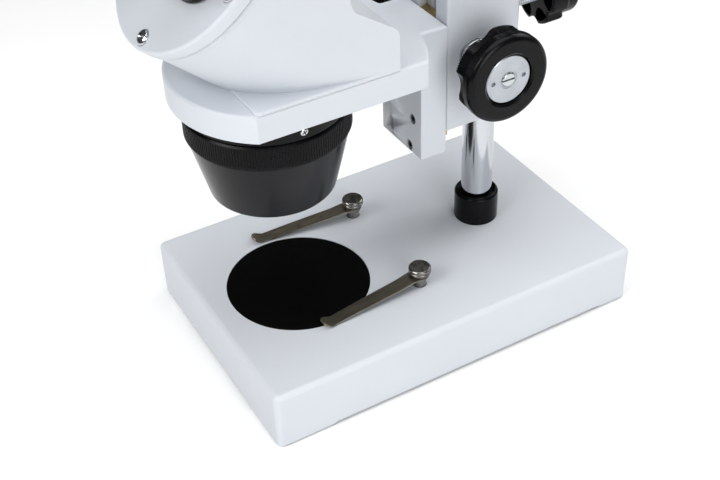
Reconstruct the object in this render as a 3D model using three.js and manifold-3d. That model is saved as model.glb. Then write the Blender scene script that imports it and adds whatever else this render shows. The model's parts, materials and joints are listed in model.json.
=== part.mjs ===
// Stereo dissecting microscope: post stand, focus block, inclined head,
// two-position objective turret and a pair of swinging eye tubes.
// Millimetres, +Z up, front of the instrument towards -Y, stage centred on X = 0.
import * as THREE from 'three';
import { mergeVertices } from 'three/addons/utils/BufferGeometryUtils.js';
import Module from 'manifold-3d';

const wasm = await Module();
wasm.setup();

// ---- overall sizes -------------------------------------------------------
const BASE_W = 114;             // width of the base across X
const BASE_FRONT = 40;          // stage centre forward to the front of the base
const BASE_BACK = 131;          // stage centre back to the rear of the base
const BASE_H = 26.8;            // table to the top of the base
const STAGE_D = 60;             // stage plate diameter
const POST_Y = 89.4;            // post axis behind the stage centre
const POST_D = 13.5;            // post diameter
const POST_TOP = 240;           // table to the top of the post
const ARM_Z = 124;              // table to the underside of the arm plate
const TILT = 48;                // eye tube axis, degrees off the vertical

// ---- clearances ----------------------------------------------------------
const SLIP = 0.1;               // turning and sliding fits, per side
const SEAT = 0.3;               // gap left where a turned part rests on another

// ---- base ----------------------------------------------------------------
const BASE_CORNER = 3;          // corner radius in plan
const BASE_EDGE = 2.4;          // rounding of the top edge
const BASE_WALL = 5;            // casting wall
const POCKET_CORNER = 2.5;      // corner radius of the hollow
const BASE_DECK = 6.5;          // casting thickness under the top
const SKIRT_GAP = 1.7;          // height of the relief between the corner feet
const SKIRT_LIFT = 0.5;         // casting corners above the table
const FOOT_R = 7;               // rubber foot radius
const FOOT_H = 4;               // rubber foot height
const FOOT_IN = 15;             // foot centre in from each side of the base
const STAGE_T = 2.2;            // stage plate thickness
const COLLAR_D = 19.1;          // collar round the foot of the post
const COLLAR_H = 13.9;          // collar height
const SHANK_D = 8;              // reduced lower end of the post
const SHANK_Z = 4.5;            // lower end of the shank
const NUT_H = 6.5;              // post nut height
const NUT_AF = 13;              // post nut across flats

// ---- stage clips ---------------------------------------------------------
const CLIP_X = 28;              // clip studs each side of the middle
const CLIP_Y = 42.4;            // clip studs behind the stage centre
const CLIP_STUD_R = 2.75;       // stem radius
const CLIP_HEAD_R = 4.7;        // head radius
const CLIP_TOP = 9.3;           // head above the base
const CLIP_HEAD_T = 3.2;        // head thickness
const CLIP_LEN = 47.5;          // stud axis to blade tip
const CLIP_T = 0.7;             // blade thickness
const CLIP_LIFT = 0.35;         // blade off the base where it bears
const CLIP_OUT = { left: 8, right: 2.5 };// degrees each blade stands outwards

// ---- focus block ---------------------------------------------------------
const BLOCK_HALF = 14.5;        // half width of the block
const BLOCK_FRONT = 63.6;       // front face
const BLOCK_DROP = 37;          // bottom face below the arm
const BLOCK_H = 59;             // block height
const SLEEVE_T = 1.3;           // sleeve wall
const PINION_Y = 76;            // knob axis
const PINION_DROP = 5.4;        // knob axis below the arm
const BUSH_R = 7.2;             // pinion bush radius
const BUSH_OUT = 9;             // bush standing out of the block
const BUSH_COLLAR = 2.6;        // wide part of the bush
const CLAMP_RISE = 3.5;         // clamp screw above the underside of the arm
const CLAMP_R = 3.1;            // clamp screw radius
const CLAMP_GAP = 11;           // screw showing between block and knob
const CLAMP_KNOB_R = 13;        // lobed clamp knob radius
const CLAMP_KNOB_L = 8.5;       // lobed part length
const CLAMP_HUB_R = 11;         // hub radius
const CLAMP_HUB_L = 6.6;        // hub length

// ---- focus knobs ---------------------------------------------------------
const SHAFT_R = 3;              // pinion shaft radius
const PITCH_R = 4;              // rack travel per radian of the knob
const TEETH = 10;               // pinion teeth
const KNOB_X0 = 27;             // inner face of the knob
const KNOB_X1 = 38.5;           // outer face of the knob
const KNOB_R = 18.2;            // flange radius
const KNOB_GRIP_R = 17.6;       // grip radius behind the flange
const KNOB_FLANGE = 5;          // flange width
const HOLLOWS = 5;              // finger hollows round the grip
const HOLLOW_R = 12;            // radius of each hollow
const HOLLOW_DEEP = 2.8;        // depth of each hollow
const HOLLOW_AT = 61;           // first hollow, degrees
const KNOB_CAP_R = 9.9;         // metal cap radius
const KNOB_RECESS = 1;          // cap below the outer face

// ---- arm, slide and rack -------------------------------------------------
const ARM_T = 11;               // arm plate thickness
const ARM_HALF = 33.7;          // arm plate half width
const NOSE_R = 41.6;            // plate nose radius
const NOSE_Y = -1.5;            // centre of the nose arc
const ARM_BACK = 43.2;          // where the straight sides end
const BRACKET_HALF = 15;        // half width of the upright bracket
const BRACKET_Y0 = 51.4;        // front of the bracket
const BRACKET_Y1 = 63.2;        // back of the bracket
const BRACKET_DROP = 46.4;      // bottom of the bracket below the arm
const SLIDE_HALF = 6;           // dovetail half width at the bracket
const SLIDE_FLARE = 1.8;        // extra half width at its back
const SLIDE_T = 5.4;            // dovetail thickness
const SLIDE_DROP = 44;          // bottom of the dovetail below the arm
const SLIDE_RISE = 9;           // top of the dovetail above the underside of the arm
const RACK_HALF = 3;            // rack half width
const TOOTH_H = 1.6;            // rack tooth height
const SCREW_R = 2.1;            // bracket screw head radius

// ---- head ----------------------------------------------------------------
const DISC_R = 40.4;            // front cover radius
const DISC_T = 5;               // front cover thickness
const DISC_Y = -28.3;           // middle of its outer face
const DISC_RISE = 52.2;         // the same point above the arm
const COVER_SCREWS = 5;         // screws round the cover
const COVER_PCD = 36;           // radius of the screw circle
const COVER_START = -80;        // first screw, degrees
const COVER_SCREW_R = 3;        // screw head radius
const HEAD_WALL = 4;            // head casting wall
const HEAD_TAPER = 62;          // length over which the casting narrows
const HEAD_REAR = 16;           // height of the casting's rear wall
const HEAD_WAIST = 12.2;        // where the sloping rear meets the upright part
const HEAD_SLAB = 1.2;          // thickness of the square foot
const FOOT_Y0 = -26;            // front of the head's foot on the plate
const FOOT_Y1 = 31;             // back of the head's foot

// ---- objective turret ----------------------------------------------------
const OBJ_Y = -7.1;             // turret axis
const OBJ_COLLAR_IN = 0.9;      // fixed collar inside the ring
const OBJ_COLLAR_H = 6;         // fixed collar height
const RING_R = 31.9;            // knurled ring radius
const RING_H = 9.7;             // knurled ring height
const CONE_TOP_IN = 0.7;        // cone inside the ring where they meet
const CONE_BOT_R = 24.85;       // cone radius at its open end
const CONE_DROP = 42.3;         // its open end below the arm
const SPINDLE_R = 5;            // spindle the turret turns on

// ---- eye tubes -----------------------------------------------------------
const PIVOT_X = 15.4;           // swing axis each side of the middle
const PIVOT_U = -2;             // swing axis up the cover face
const HUB_R = 14.9;             // dark swing ring radius
const HUB_T = 6;                // swing ring thickness
const EYE_ARM = 24;             // swing axis to eye tube axis
const EYE_SWING = 40;           // degrees above level at rest
const PRISM_T = 26;             // prism housing thickness
const PRISM_R = 16.4;           // housing radius round the eye tube
const TUBE_R = 13;              // eye tube radius
const TUBE_L = 24;              // eye tube length
const TUBE_BORE = 11.6;         // eye tube bore
const EYE_R = 15.2;             // eyepiece body radius
const EYE_L = 20;               // eyepiece body length
const CUP_L = 9;                // eyecup length
const DIOPTER_L = 8;            // dioptre ring length
const DIOPTER_R = 15;           // dioptre ring radius

// ---- materials -----------------------------------------------------------
const mat = (color, roughness, metalness) =>
  new THREE.MeshStandardMaterial({ color, roughness, metalness });
const WHITE = mat(0xe4e7ea, 0.45, 0.0);
const BLACK = mat(0x17181b, 0.5, 0.0);
const SATIN = mat(0x0d0d0e, 0.8, 0.0);
const GLOSSY = mat(0x35363c, 0.2, 0.0);
const RUBBER = mat(0x1c1c1c, 0.9, 0.0);
const CHROME = mat(0xd2d6da, 0.12, 1.0);
const STEEL = mat(0x6d6a64, 0.35, 1.0);
const DARKSTEEL = mat(0x2c2c2e, 0.4, 1.0);
const BRONZE = mat(0x7d7465, 0.35, 1.0);
const ALUMINIUM = mat(0xb9bcc0, 0.45, 1.0);
const BRASS = mat(0xb4914f, 0.35, 1.0);
const GLASS = mat(0x39445a, 0.05, 0.0);

// ---- derived -------------------------------------------------------------
const rad = (d) => d * Math.PI / 180;
const ARM_TOP = ARM_Z + ARM_T;
const BLOCK_Z0 = ARM_Z - BLOCK_DROP;
const PINION_Z = ARM_Z - PINION_DROP;
const CLAMP_Z = ARM_Z + CLAMP_RISE;
const BRACKET_Z0 = ARM_Z - BRACKET_DROP;
const SLIDE_Z0 = ARM_Z - SLIDE_DROP;
const SLIDE_Z1 = ARM_Z + SLIDE_RISE;
const DISC_Z = ARM_TOP + DISC_RISE;
const HEAD_STEP = ARM_TOP + HEAD_REAR;
const CONE_BOT_Z = ARM_Z - CONE_DROP;
const OBJ_COLLAR_R = RING_R - OBJ_COLLAR_IN;
const CONE_TOP_R = RING_R - CONE_TOP_IN;
const HOUSE_Z0 = HUB_T + SEAT;
const TUBE_Z0 = HOUSE_Z0 + PRISM_T + SEAT;
const EYE_Z0 = TUBE_Z0 + TUBE_L + SEAT;
const CUP_Z0 = EYE_Z0 + EYE_L + SEAT;
const EYE_END = CUP_Z0 + CUP_L;
const EYE_CX = PIVOT_X + EYE_ARM * Math.cos(rad(EYE_SWING));
const EYE_CU = PIVOT_U + EYE_ARM * Math.sin(rad(EYE_SWING));
const CLAMP_Y0 = POST_Y + BLOCK_HALF + CLAMP_GAP;
const CLAMP_Y1 = CLAMP_Y0 + CLAMP_KNOB_L + CLAMP_HUB_L;
const EYE_FRONT = DISC_Y - EYE_END * Math.sin(rad(TILT)) + (EYE_CU - EYE_R) * Math.cos(rad(TILT));
const BACK_END = Math.max(BASE_BACK, CLAMP_Y1);
const SHIFT_Y = -(BACK_END + EYE_FRONT) / 2;
const SLEEVE_R = POST_D / 2 + SLIP + SLEEVE_T;

// ---- helpers -------------------------------------------------------------
const group = new THREE.Group();

function part(name, geometry, material) {
  const g = plain(geometry);
  g.translate(0, SHIFT_Y, 0);
  g.computeVertexNormals();
  const mesh = new THREE.Mesh(g, material);
  mesh.name = name;
  group.add(mesh);
}

function plain(geometry) {
  const g = geometry.clone();
  g.deleteAttribute('normal');
  g.deleteAttribute('uv');
  return mergeVertices(g, 1e-4);
}

function solid(geometry) {
  const g = plain(geometry);
  const mesh = new wasm.Mesh({
    numProp: 3,
    vertProperties: new Float32Array(g.attributes.position.array),
    triVerts: new Uint32Array(g.index.array),
  });
  mesh.merge();
  return new wasm.Manifold(mesh);
}

function surface(manifold) {
  const m = manifold.getMesh();
  const g = new THREE.BufferGeometry();
  g.setAttribute('position', new THREE.BufferAttribute(new Float32Array(m.vertProperties), 3));
  g.setIndex(new THREE.BufferAttribute(new Uint32Array(m.triVerts), 1));
  return g;
}

function join(...list) {
  return surface(list.map(solid).reduce((a, b) => a.add(b)));
}

function cut(from, ...tools) {
  return surface(tools.map(solid).reduce((a, b) => a.subtract(b), solid(from)));
}

function common(a, b) {
  return surface(solid(a).intersect(solid(b)));
}

// Closed profile of [radius, height] pairs turned round the Z axis.
function turned(profile, sides = 20) {
  const points = profile.map(([r, z]) => new THREE.Vector2(r, z));
  const g = new THREE.LatheGeometry(points, sides);
  g.rotateX(Math.PI / 2);
  return outward(g);
}

// Makes the faces look outwards whichever way the profile ran.
function outward(geometry) {
  const g = plain(geometry);
  const p = g.attributes.position;
  const idx = g.index.array;
  const a = new THREE.Vector3();
  const b = new THREE.Vector3();
  const c = new THREE.Vector3();
  let volume = 0;
  for (let i = 0; i < idx.length; i += 3) {
    a.fromBufferAttribute(p, idx[i]);
    b.fromBufferAttribute(p, idx[i + 1]);
    c.fromBufferAttribute(p, idx[i + 2]);
    volume += a.dot(b.clone().cross(c));
  }
  if (volume < 0) {
    for (let i = 0; i < idx.length; i += 3) {
      [idx[i], idx[i + 1]] = [idx[i + 1], idx[i]];
    }
  }
  return g;
}

function rod(r, z0, z1, sides = 20) {
  return turned([[0, z0], [r, z0], [r, z1], [0, z1]], sides);
}

function pipe(inner, outer, z0, z1, sides = 20) {
  return turned([[inner, z0], [outer, z0], [outer, z1], [inner, z1], [inner, z0]], sides);
}

// Rod with a small chamfer at the top (or at both ends).
function eased(r, z0, z1, edge, both = false, sides = 20) {
  const profile = [[0, z0]];
  if (both) profile.push([r - edge, z0], [r, z0 + edge]);
  else profile.push([r, z0]);
  profile.push([r, z1 - edge], [r - edge, z1], [0, z1]);
  return turned(profile, sides);
}

function block(x0, x1, y0, y1, z0, z1) {
  const g = new THREE.BoxGeometry(x1 - x0, y1 - y0, z1 - z0);
  g.translate((x0 + x1) / 2, (y0 + y1) / 2, (z0 + z1) / 2);
  return g;
}

function prism(points, z0, z1) {
  const shape = new THREE.Shape(points.map(([x, y]) => new THREE.Vector2(x, y)));
  const g = new THREE.ExtrudeGeometry(shape, { depth: z1 - z0, bevelEnabled: false });
  g.translate(0, 0, z0);
  return outward(g);
}

// Skin over a stack of closed rings with equal point counts, capped at both ends.
function loft(rings) {
  const n = rings[0].length;
  const position = rings.flat(2);
  const index = [];
  for (let k = 0; k < rings.length - 1; k += 1) {
    for (let i = 0; i < n; i += 1) {
      const j = (i + 1) % n;
      const a = k * n + i;
      const b = k * n + j;
      index.push(a, b, b + n, a, b + n, a + n);
    }
  }
  for (let i = 1; i < n - 1; i += 1) {
    index.push(0, i + 1, i);
    const t = (rings.length - 1) * n;
    index.push(t, t + i, t + i + 1);
  }
  const g = new THREE.BufferGeometry();
  g.setAttribute('position', new THREE.BufferAttribute(new Float32Array(position), 3));
  g.setIndex(new THREE.BufferAttribute(new Uint32Array(index), 1));
  return outward(g);
}

// Rounded rectangle as [x, y, z] points.
function roundedRing(x0, x1, y0, y1, r, z, steps = 3) {
  const ring = [];
  const corners = [[x1 - r, y1 - r, 0], [x0 + r, y1 - r, 90], [x0 + r, y0 + r, 180], [x1 - r, y0 + r, 270]];
  for (const [cx, cy, start] of corners) {
    for (let i = 0; i <= steps; i += 1) {
      const a = rad(start + 90 * i / steps);
      ring.push([cx + r * Math.cos(a), cy + r * Math.sin(a), z]);
    }
  }
  return ring;
}

function alongX(geometry) {
  geometry.rotateY(Math.PI / 2);
  return geometry;
}

function alongY(geometry) {
  geometry.rotateX(-Math.PI / 2);
  return geometry;
}

// Stands a drawing of [y, z] points up in the side view, its depth along X.
function sideways(geometry) {
  const y = new THREE.Vector3(0, 1, 0);
  const z = new THREE.Vector3(0, 0, 1);
  const x = new THREE.Vector3(1, 0, 0);
  geometry.applyMatrix4(new THREE.Matrix4().makeBasis(y, z, x));
  return geometry;
}

// Places work drawn on the cover face: local z runs out along the eye tubes.
function onCover(geometry) {
  geometry.rotateX(rad(TILT));
  geometry.translate(0, DISC_Y, DISC_Z);
  return geometry;
}

function polar(r, degrees) {
  return [r * Math.cos(rad(degrees)), r * Math.sin(rad(degrees))];
}

// ---- base ----------------------------------------------------------------
function baseCasting() {
  const half = BASE_W / 2;
  const rings = [roundedRing(-half, half, -BASE_FRONT, BASE_BACK, BASE_CORNER, SKIRT_LIFT)];
  for (let i = 0; i <= 3; i += 1) {
    const a = rad(90 * i / 3);
    const inset = BASE_EDGE * (1 - Math.cos(a));
    const z = BASE_H - BASE_EDGE + BASE_EDGE * Math.sin(a);
    const r = BASE_CORNER - inset;
    rings.push(roundedRing(-half + inset, half - inset, -BASE_FRONT + inset, BASE_BACK - inset, r, z));
  }
  const w = BASE_WALL;
  const roof = BASE_H - BASE_DECK;
  const inside = [SKIRT_LIFT - 1, roof].map((z) => (
    roundedRing(-half + w, half - w, -BASE_FRONT + w, BASE_BACK - w, POCKET_CORNER, z)));
  let hollow = loft(inside);
  hollow = cut(hollow, rod(SHANK_D / 2 + 9, SKIRT_LIFT + 3, BASE_H, 20).translate(0, POST_Y, 0));
  for (const [x, y] of footCentres()) {
    hollow = cut(hollow, rod(FOOT_R + 2.5, -5, BASE_H, 16).translate(x, y, 0));
  }
  const relief = FOOT_IN + FOOT_R + 3;
  const tools = [
    hollow,
    block(-half + relief, half - relief, -BASE_FRONT - 1, BASE_BACK + 1, -1, SKIRT_GAP),
    block(-half - 1, half + 1, -BASE_FRONT + relief, BASE_BACK - relief, -1, SKIRT_GAP),
    rod(STAGE_D / 2 + SLIP, BASE_H - STAGE_T - SLIP, BASE_H + 1, 40),
    rod(SHANK_D / 2 + SLIP, 0, BASE_H + 1, 16).translate(0, POST_Y, 0),
    rod(NUT_AF / 2 + 2, 0, SHANK_Z + NUT_H + 1, 16).translate(0, POST_Y, 0),
  ];
  for (const side of [-1, 1]) {
    const hole = rod(CLIP_STUD_R + SLIP, BASE_H - BASE_DECK - 1, BASE_H + 1, 16);
    tools.push(hole.translate(side * CLIP_X, CLIP_Y, 0));
  }
  for (const [x, y] of footCentres()) {
    tools.push(rod(FOOT_R + SLIP, -1, FOOT_H + SLIP, 16).translate(x, y, 0));
  }
  part('base_casting', cut(loft(rings), ...tools), WHITE);
}

function footCentres() {
  const x = BASE_W / 2 - FOOT_IN;
  const front = -BASE_FRONT + FOOT_IN;
  const back = BASE_BACK - FOOT_IN;
  return [[-x, front], [x, front], [-x, back], [x, back]];
}

function feet() {
  const names = ['foot_front_left', 'foot_front_right', 'foot_rear_left', 'foot_rear_right'];
  footCentres().forEach(([x, y], i) => {
    const g = turned([[0, 0], [FOOT_R - 0.6, 0], [FOOT_R, 0.6], [FOOT_R, FOOT_H], [0, FOOT_H]], 16);
    part(names[i], g.translate(x, y, 0), RUBBER);
  });
}

function stagePlate() {
  const r = STAGE_D / 2;
  const z = BASE_H;
  const profile = [[0, z - STAGE_T], [r, z - STAGE_T], [r, z - 0.2], [r - 0.3, z], [0, z]];
  part('stage_plate', turned(profile, 40), SATIN);
}

function postAndFittings() {
  const seat = BASE_H;
  const r = POST_D / 2;
  const profile = [[0, SHANK_Z], [SHANK_D / 2, SHANK_Z], [SHANK_D / 2, seat], [r, seat]];
  profile.push([r, POST_TOP - 1], [r - 1, POST_TOP], [0, POST_TOP]);
  part('post', turned(profile, 24).translate(0, POST_Y, 0), CHROME);
  const outer = COLLAR_D / 2;
  const top = BASE_H + COLLAR_H;
  const inner = r + SLIP;
  const collar = [[inner, seat], [outer, seat], [outer, top - 1.2], [outer - 1.2, top]];
  collar.push([inner + 1, top], [inner + 1, top - 1], [inner, top - 1], [inner, seat]);
  part('post_collar', turned(collar, 24).translate(0, POST_Y, 0), BLACK);
  const nutTop = SHANK_Z + NUT_H + 1;
  const nut = pipe(SHANK_D / 2 + SLIP, NUT_AF / 2 / Math.cos(Math.PI / 6), nutTop - NUT_H, nutTop, 16);
  const hex = rod(NUT_AF / 2 / Math.cos(Math.PI / 6), nutTop - NUT_H, nutTop, 6);
  part('post_nut', common(nut, hex).translate(0, POST_Y, 0), STEEL);
}

// ---- stage clips ---------------------------------------------------------
function bladePoints(half) {
  return [[half, 0], [0.75 * half, -CLIP_LEN + 5], [0.95 * half, -CLIP_LEN + 1.5], [0.6 * half, -CLIP_LEN]];
}

function clipBlade() {
  const ringZ = BASE_H + CLIP_TOP - CLIP_HEAD_T - 1.6;
  const low = BASE_H + CLIP_LIFT;
  const path = [[3.9, ringZ], [-4.5, ringZ], [-9, ringZ - 0.7]];
  path.push([-CLIP_LEN + 6, low], [-CLIP_LEN + 3.5, low + 0.2]);
  path.push([-CLIP_LEN, low + 2]);
  const shape = path.map(([y, z]) => [y, z]).concat(path.slice().reverse().map(([y, z]) => [y, z + CLIP_T]));
  const side = sideways(prism(shape, -5, 5));
  const outline = bladePoints(3.5);
  const plan = outline.concat(outline.slice().reverse().map(([x, y]) => [-x, y]));
  for (let i = 1; i < 8; i += 1) {
    const [x, y] = polar(3.9, 180 - 22.5 * i);
    plan.push([x, y]);
  }
  return { side, plan };
}

function clips() {
  for (const name of ['left', 'right']) {
    const sign = name === 'left' ? -1 : 1;
    const top = BASE_H + CLIP_TOP;
    const under = top - CLIP_HEAD_T;
    const r = CLIP_STUD_R;
    const h = CLIP_HEAD_R;
    const stud = [[0, BASE_H - BASE_DECK], [r, BASE_H - BASE_DECK], [r, under], [h - 1, under]];
    stud.push([h, under + 0.8], [h, top - 0.7], [h - 0.8, top], [0, top]);
    const x = sign * CLIP_X;
    part(`clip_${name}_stud`, turned(stud, 18).translate(x, CLIP_Y, 0), STEEL);
    const { side, plan } = clipBlade();
    let blade = common(side, prism(plan, BASE_H - 2, BASE_H + CLIP_TOP));
    blade = cut(blade, rod(r + 0.1, BASE_H, BASE_H + CLIP_TOP, 18));
    blade.rotateZ(rad(sign * CLIP_OUT[name]));
    part(`clip_${name}_blade`, blade.translate(x, CLIP_Y, 0), BRONZE);
  }
}

// ---- sleeve and focus block ----------------------------------------------
function sleeve() {
  const g = pipe(POST_D / 2 + SLIP, SLEEVE_R, BLOCK_Z0 - 1.2, BLOCK_Z0 + BLOCK_H + 1.2, 24);
  part('post_sleeve', g.translate(0, POST_Y, 0), DARKSTEEL);
}

function dovetail(grow, z0, z1) {
  const y0 = BRACKET_Y1;
  const y1 = BRACKET_Y1 + SLIDE_T + grow;
  const a = SLIDE_HALF + grow;
  const b = SLIDE_HALF + SLIDE_FLARE + grow;
  return prism([[-a, y0], [a, y0], [b, y1], [-b, y1]], z0, z1);
}

function focusBlock() {
  const z0 = BLOCK_Z0;
  const z1 = BLOCK_Z0 + BLOCK_H;
  const plan = [[-BLOCK_HALF + 1.5, BLOCK_FRONT], [BLOCK_HALF - 1.5, BLOCK_FRONT]];
  plan.push([BLOCK_HALF, BLOCK_FRONT + 1.5]);
  for (let i = 0; i <= 12; i += 1) {
    const [x, y] = polar(BLOCK_HALF, 180 * i / 12);
    plan.push([x, POST_Y + y]);
  }
  plan.push([-BLOCK_HALF, BLOCK_FRONT + 1.5]);
  const rackY = BRACKET_Y1 + SLIDE_T;
  const tools = [
    rod(SLEEVE_R + SLIP, z0 - 1, z1 + 1, 24).translate(0, POST_Y, 0),
    dovetail(2 * SLIP, z0 - 1, z1 + 1),
    block(-RACK_HALF - 2 * SLIP, RACK_HALF + 2 * SLIP, rackY - 1, PINION_Y - PITCH_R + TOOTH_H,
      z0 - 1, z1 + 1),
    alongX(rod(SHAFT_R + 2.4, -RACK_HALF - 0.6, RACK_HALF + 0.6, 18)).translate(0, PINION_Y, PINION_Z),
    alongY(rod(CLAMP_R + SLIP, SLEEVE_R, BLOCK_HALF + 2, 16)).translate(0, POST_Y, CLAMP_Z),
  ];
  const cross = alongX(rod(SHAFT_R + SLIP, -BLOCK_HALF - 1, BLOCK_HALF + 1, 18));
  tools.push(cross.translate(0, PINION_Y, PINION_Z));
  for (const s of [-1, 1]) {
    const seat = rod(BUSH_R - 2, 0, 6, 18);
    tools.push(alongX(seat).translate(s > 0 ? BLOCK_HALF - 5 : -BLOCK_HALF - 1, PINION_Y, PINION_Z));
  }
  part('focus_block', cut(prism(plan, z0, z1), ...tools), WHITE);
}

function bushes() {
  for (const name of ['left', 'right']) {
    const s = name === 'left' ? -1 : 1;
    const inner = SHAFT_R + SLIP;
    const x0 = BLOCK_HALF - 4.9;
    const x1 = BLOCK_HALF;
    const profile = [[inner, x0], [BUSH_R - 2.1, x0], [BUSH_R - 2.1, x1], [BUSH_R, x1]];
    profile.push([BUSH_R, x1 + BUSH_COLLAR], [BUSH_R - 1.6, x1 + BUSH_COLLAR]);
    profile.push([BUSH_R - 1.6, x1 + BUSH_OUT], [inner, x1 + BUSH_OUT], [inner, x0]);
    const g = turned(profile, 20);
    g.rotateY(s * Math.PI / 2);
    part(`pinion_bush_${name}`, g.translate(0, PINION_Y, PINION_Z), ALUMINIUM);
  }
}

// ---- clamp ---------------------------------------------------------------
function clamp() {
  const y0 = SLEEVE_R + 0.2;
  const start = CLAMP_Y0 - POST_Y;
  const bar = [[0, y0], [CLAMP_R - 0.5, y0], [CLAMP_R, y0 + 0.5], [CLAMP_R, start + 3], [0, start + 3]];
  const shaft = turned(bar, 16);
  part('clamp_screw', alongY(shaft).translate(0, POST_Y, CLAMP_Z), STEEL);
  const lobed = [];
  for (let i = 0; i < 36; i += 1) {
    const a = i * 10;
    const dip = Math.max(0, Math.cos(rad(6 * a)));
    lobed.push(polar(CLAMP_KNOB_R - 2.2 * dip, a));
  }
  const lobes = prism(lobed, start, start + CLAMP_KNOB_L);
  const trim = eased(CLAMP_KNOB_R, start, start + CLAMP_KNOB_L, 1.6, true, 28);
  const back = start + CLAMP_KNOB_L;
  const hub = eased(CLAMP_HUB_R, back - 1, back + CLAMP_HUB_L, 1.4, false, 24);
  const knob = cut(join(common(lobes, trim), hub), rod(CLAMP_R + 0.05, start - 1, start + 3.05, 16));
  part('clamp_knob', alongY(knob).translate(0, POST_Y, CLAMP_Z), BLACK);
}

// ---- pinion and knobs ----------------------------------------------------
function pinionShaft() {
  const end = KNOB_X1 - KNOB_RECESS + 0.3;
  const spindle = eased(SHAFT_R, -end, end, 0.4, true, 18);
  const gear = [];
  for (let i = 0; i < TEETH; i += 1) {
    const pitch = 360 / TEETH;
    const at = i * pitch;
    const tip = PITCH_R + TOOTH_H / 2 - 0.35;
    const root = PITCH_R - TOOTH_H / 2 - 0.1;
    gear.push(polar(root, at - pitch * 0.3));
    gear.push(polar(tip, at - pitch * 0.1));
    gear.push(polar(tip, at + pitch * 0.1));
    gear.push(polar(root, at + pitch * 0.3));
  }
  let g = join(spindle, prism(gear, -RACK_HALF, RACK_HALF));
  for (const s of [-1, 1]) {
    g = cut(g, block(-4, 4, -0.4, 0.4, s > 0 ? end - 0.8 : -end - 1, s > 0 ? end + 1 : -end + 0.8));
  }
  part('pinion_shaft', alongX(g).translate(0, PINION_Y, PINION_Z), CHROME);
}

function knobs() {
  for (const name of ['left', 'right']) {
    const s = name === 'left' ? -1 : 1;
    const x0 = KNOB_X0;
    const x1 = KNOB_X1;
    const xf = x1 - KNOB_FLANGE;
    const profile = [[0, x0], [KNOB_GRIP_R - 1, x0], [KNOB_GRIP_R, x0 + 1]];
    profile.push([KNOB_GRIP_R, xf - 0.8], [KNOB_R, xf]);
    for (let i = 0; i <= 4; i += 1) {
      const [c, z] = polar(3, 90 * i / 4);
      profile.push([KNOB_R - 3 + c, x1 - 3 + z]);
    }
    profile.push([KNOB_CAP_R + 0.9, x1], [KNOB_CAP_R + 0.4, x1 - 0.5]);
    profile.push([KNOB_CAP_R + 0.4, x1 - 2.6], [0, x1 - 2.6]);
    let g = turned(profile, 32);
    for (let i = 0; i < HOLLOWS; i += 1) {
      const [cx, cy] = polar(KNOB_GRIP_R + HOLLOW_R - HOLLOW_DEEP, HOLLOW_AT + 360 * i / HOLLOWS);
      g = cut(g, rod(HOLLOW_R, x0 - 1, xf - 1.2, 30).translate(cx, cy, 0));
    }
    g = cut(g, rod(SHAFT_R + 0.05, x0 - 1, x1 + 1, 18));
    g = cut(g, pipe(8.4, 14, x0 - 1, x0 + 3, 20));
    g.rotateY(s * Math.PI / 2);
    part(`focus_knob_${name}`, g.translate(0, PINION_Y, PINION_Z), BLACK);
    const top = x1 - KNOB_RECESS;
    let cap = pipe(SHAFT_R + 0.05, KNOB_CAP_R, x1 - 2.55, top, 28);
    for (const side of [-1, 1]) {
      cap = cut(cap, rod(0.8, top - 1, top + 1, 12).translate(0, side * 6.9, 0));
    }
    cap.rotateY(s * Math.PI / 2);
    part(`knob_cap_${name}`, cap.translate(0, PINION_Y, PINION_Z), ALUMINIUM);
  }
}

// ---- arm -----------------------------------------------------------------
function armPlan(inset) {
  const plan = [];
  const half = ARM_HALF - inset;
  const r = NOSE_R - inset;
  const end = Math.acos(half / r);
  for (let i = 0; i <= 12; i += 1) {
    const a = -end - (Math.PI - 2 * end) * i / 12;
    plan.push([r * Math.cos(a), NOSE_Y + r * Math.sin(a)]);
  }
  const neck = BRACKET_HALF - inset;
  const shoulder = [[half, ARM_BACK - 3], [half - 0.7, ARM_BACK - 0.6]];
  for (let i = 1; i <= 6; i += 1) {
    const t = i / 6;
    const away = (1 - t) * (1 - t);
    const turn = 2 * t * (1 - t);
    const x = half * away + (neck + 9) * turn + neck * t * t;
    shoulder.push([x, ARM_BACK * away + (BRACKET_Y0 - 1.6) * turn + BRACKET_Y0 * t * t]);
  }
  shoulder.push([neck, BRACKET_Y1]);
  plan.push(...shoulder.map(([x, y]) => [-x, y]), ...shoulder.reverse());
  return plan.reverse();
}

function armCasting() {
  const plate = prism(armPlan(0), ARM_Z, ARM_TOP - 0.8);
  const lip = loft([ARM_TOP - 0.8, ARM_TOP].map((z, i) => armPlan(0.8 * i).map(([x, y]) => [x, y, z])));
  const upright = block(-BRACKET_HALF, BRACKET_HALF, BRACKET_Y0, BRACKET_Y1, BRACKET_Z0, ARM_TOP);
  const tools = [rod(SPINDLE_R + 0.05, ARM_Z - 1, ARM_Z + 7, 20).translate(0, OBJ_Y, 0)];
  for (const [x, z] of bracketScrews()) {
    tools.push(alongY(rod(SCREW_R + 0.1, 0, 3, 16)).translate(x, BRACKET_Y0 - 0.5, z));
  }
  part('arm_casting', cut(join(plate, lip, upright), ...tools), WHITE);
}

function bracketScrews() {
  const low = BRACKET_Z0 + SCREW_R + 0.9;
  const high = BRACKET_Z0 + 16.5;
  return [[-6.2, low], [6.2, low], [-8.6, high], [8.6, high]];
}

function bracketFixings() {
  const names = ['low_left', 'low_right', 'high_left', 'high_right'];
  bracketScrews().forEach(([x, z], i) => {
    let g = rod(SCREW_R, 0, 2, 16);
    g = cut(g, rod(1, -1, 1.2, 6));
    part(`bracket_screw_${names[i]}`, alongY(g).translate(x, BRACKET_Y0 + 0.4, z), DARKSTEEL);
  });
}

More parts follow.
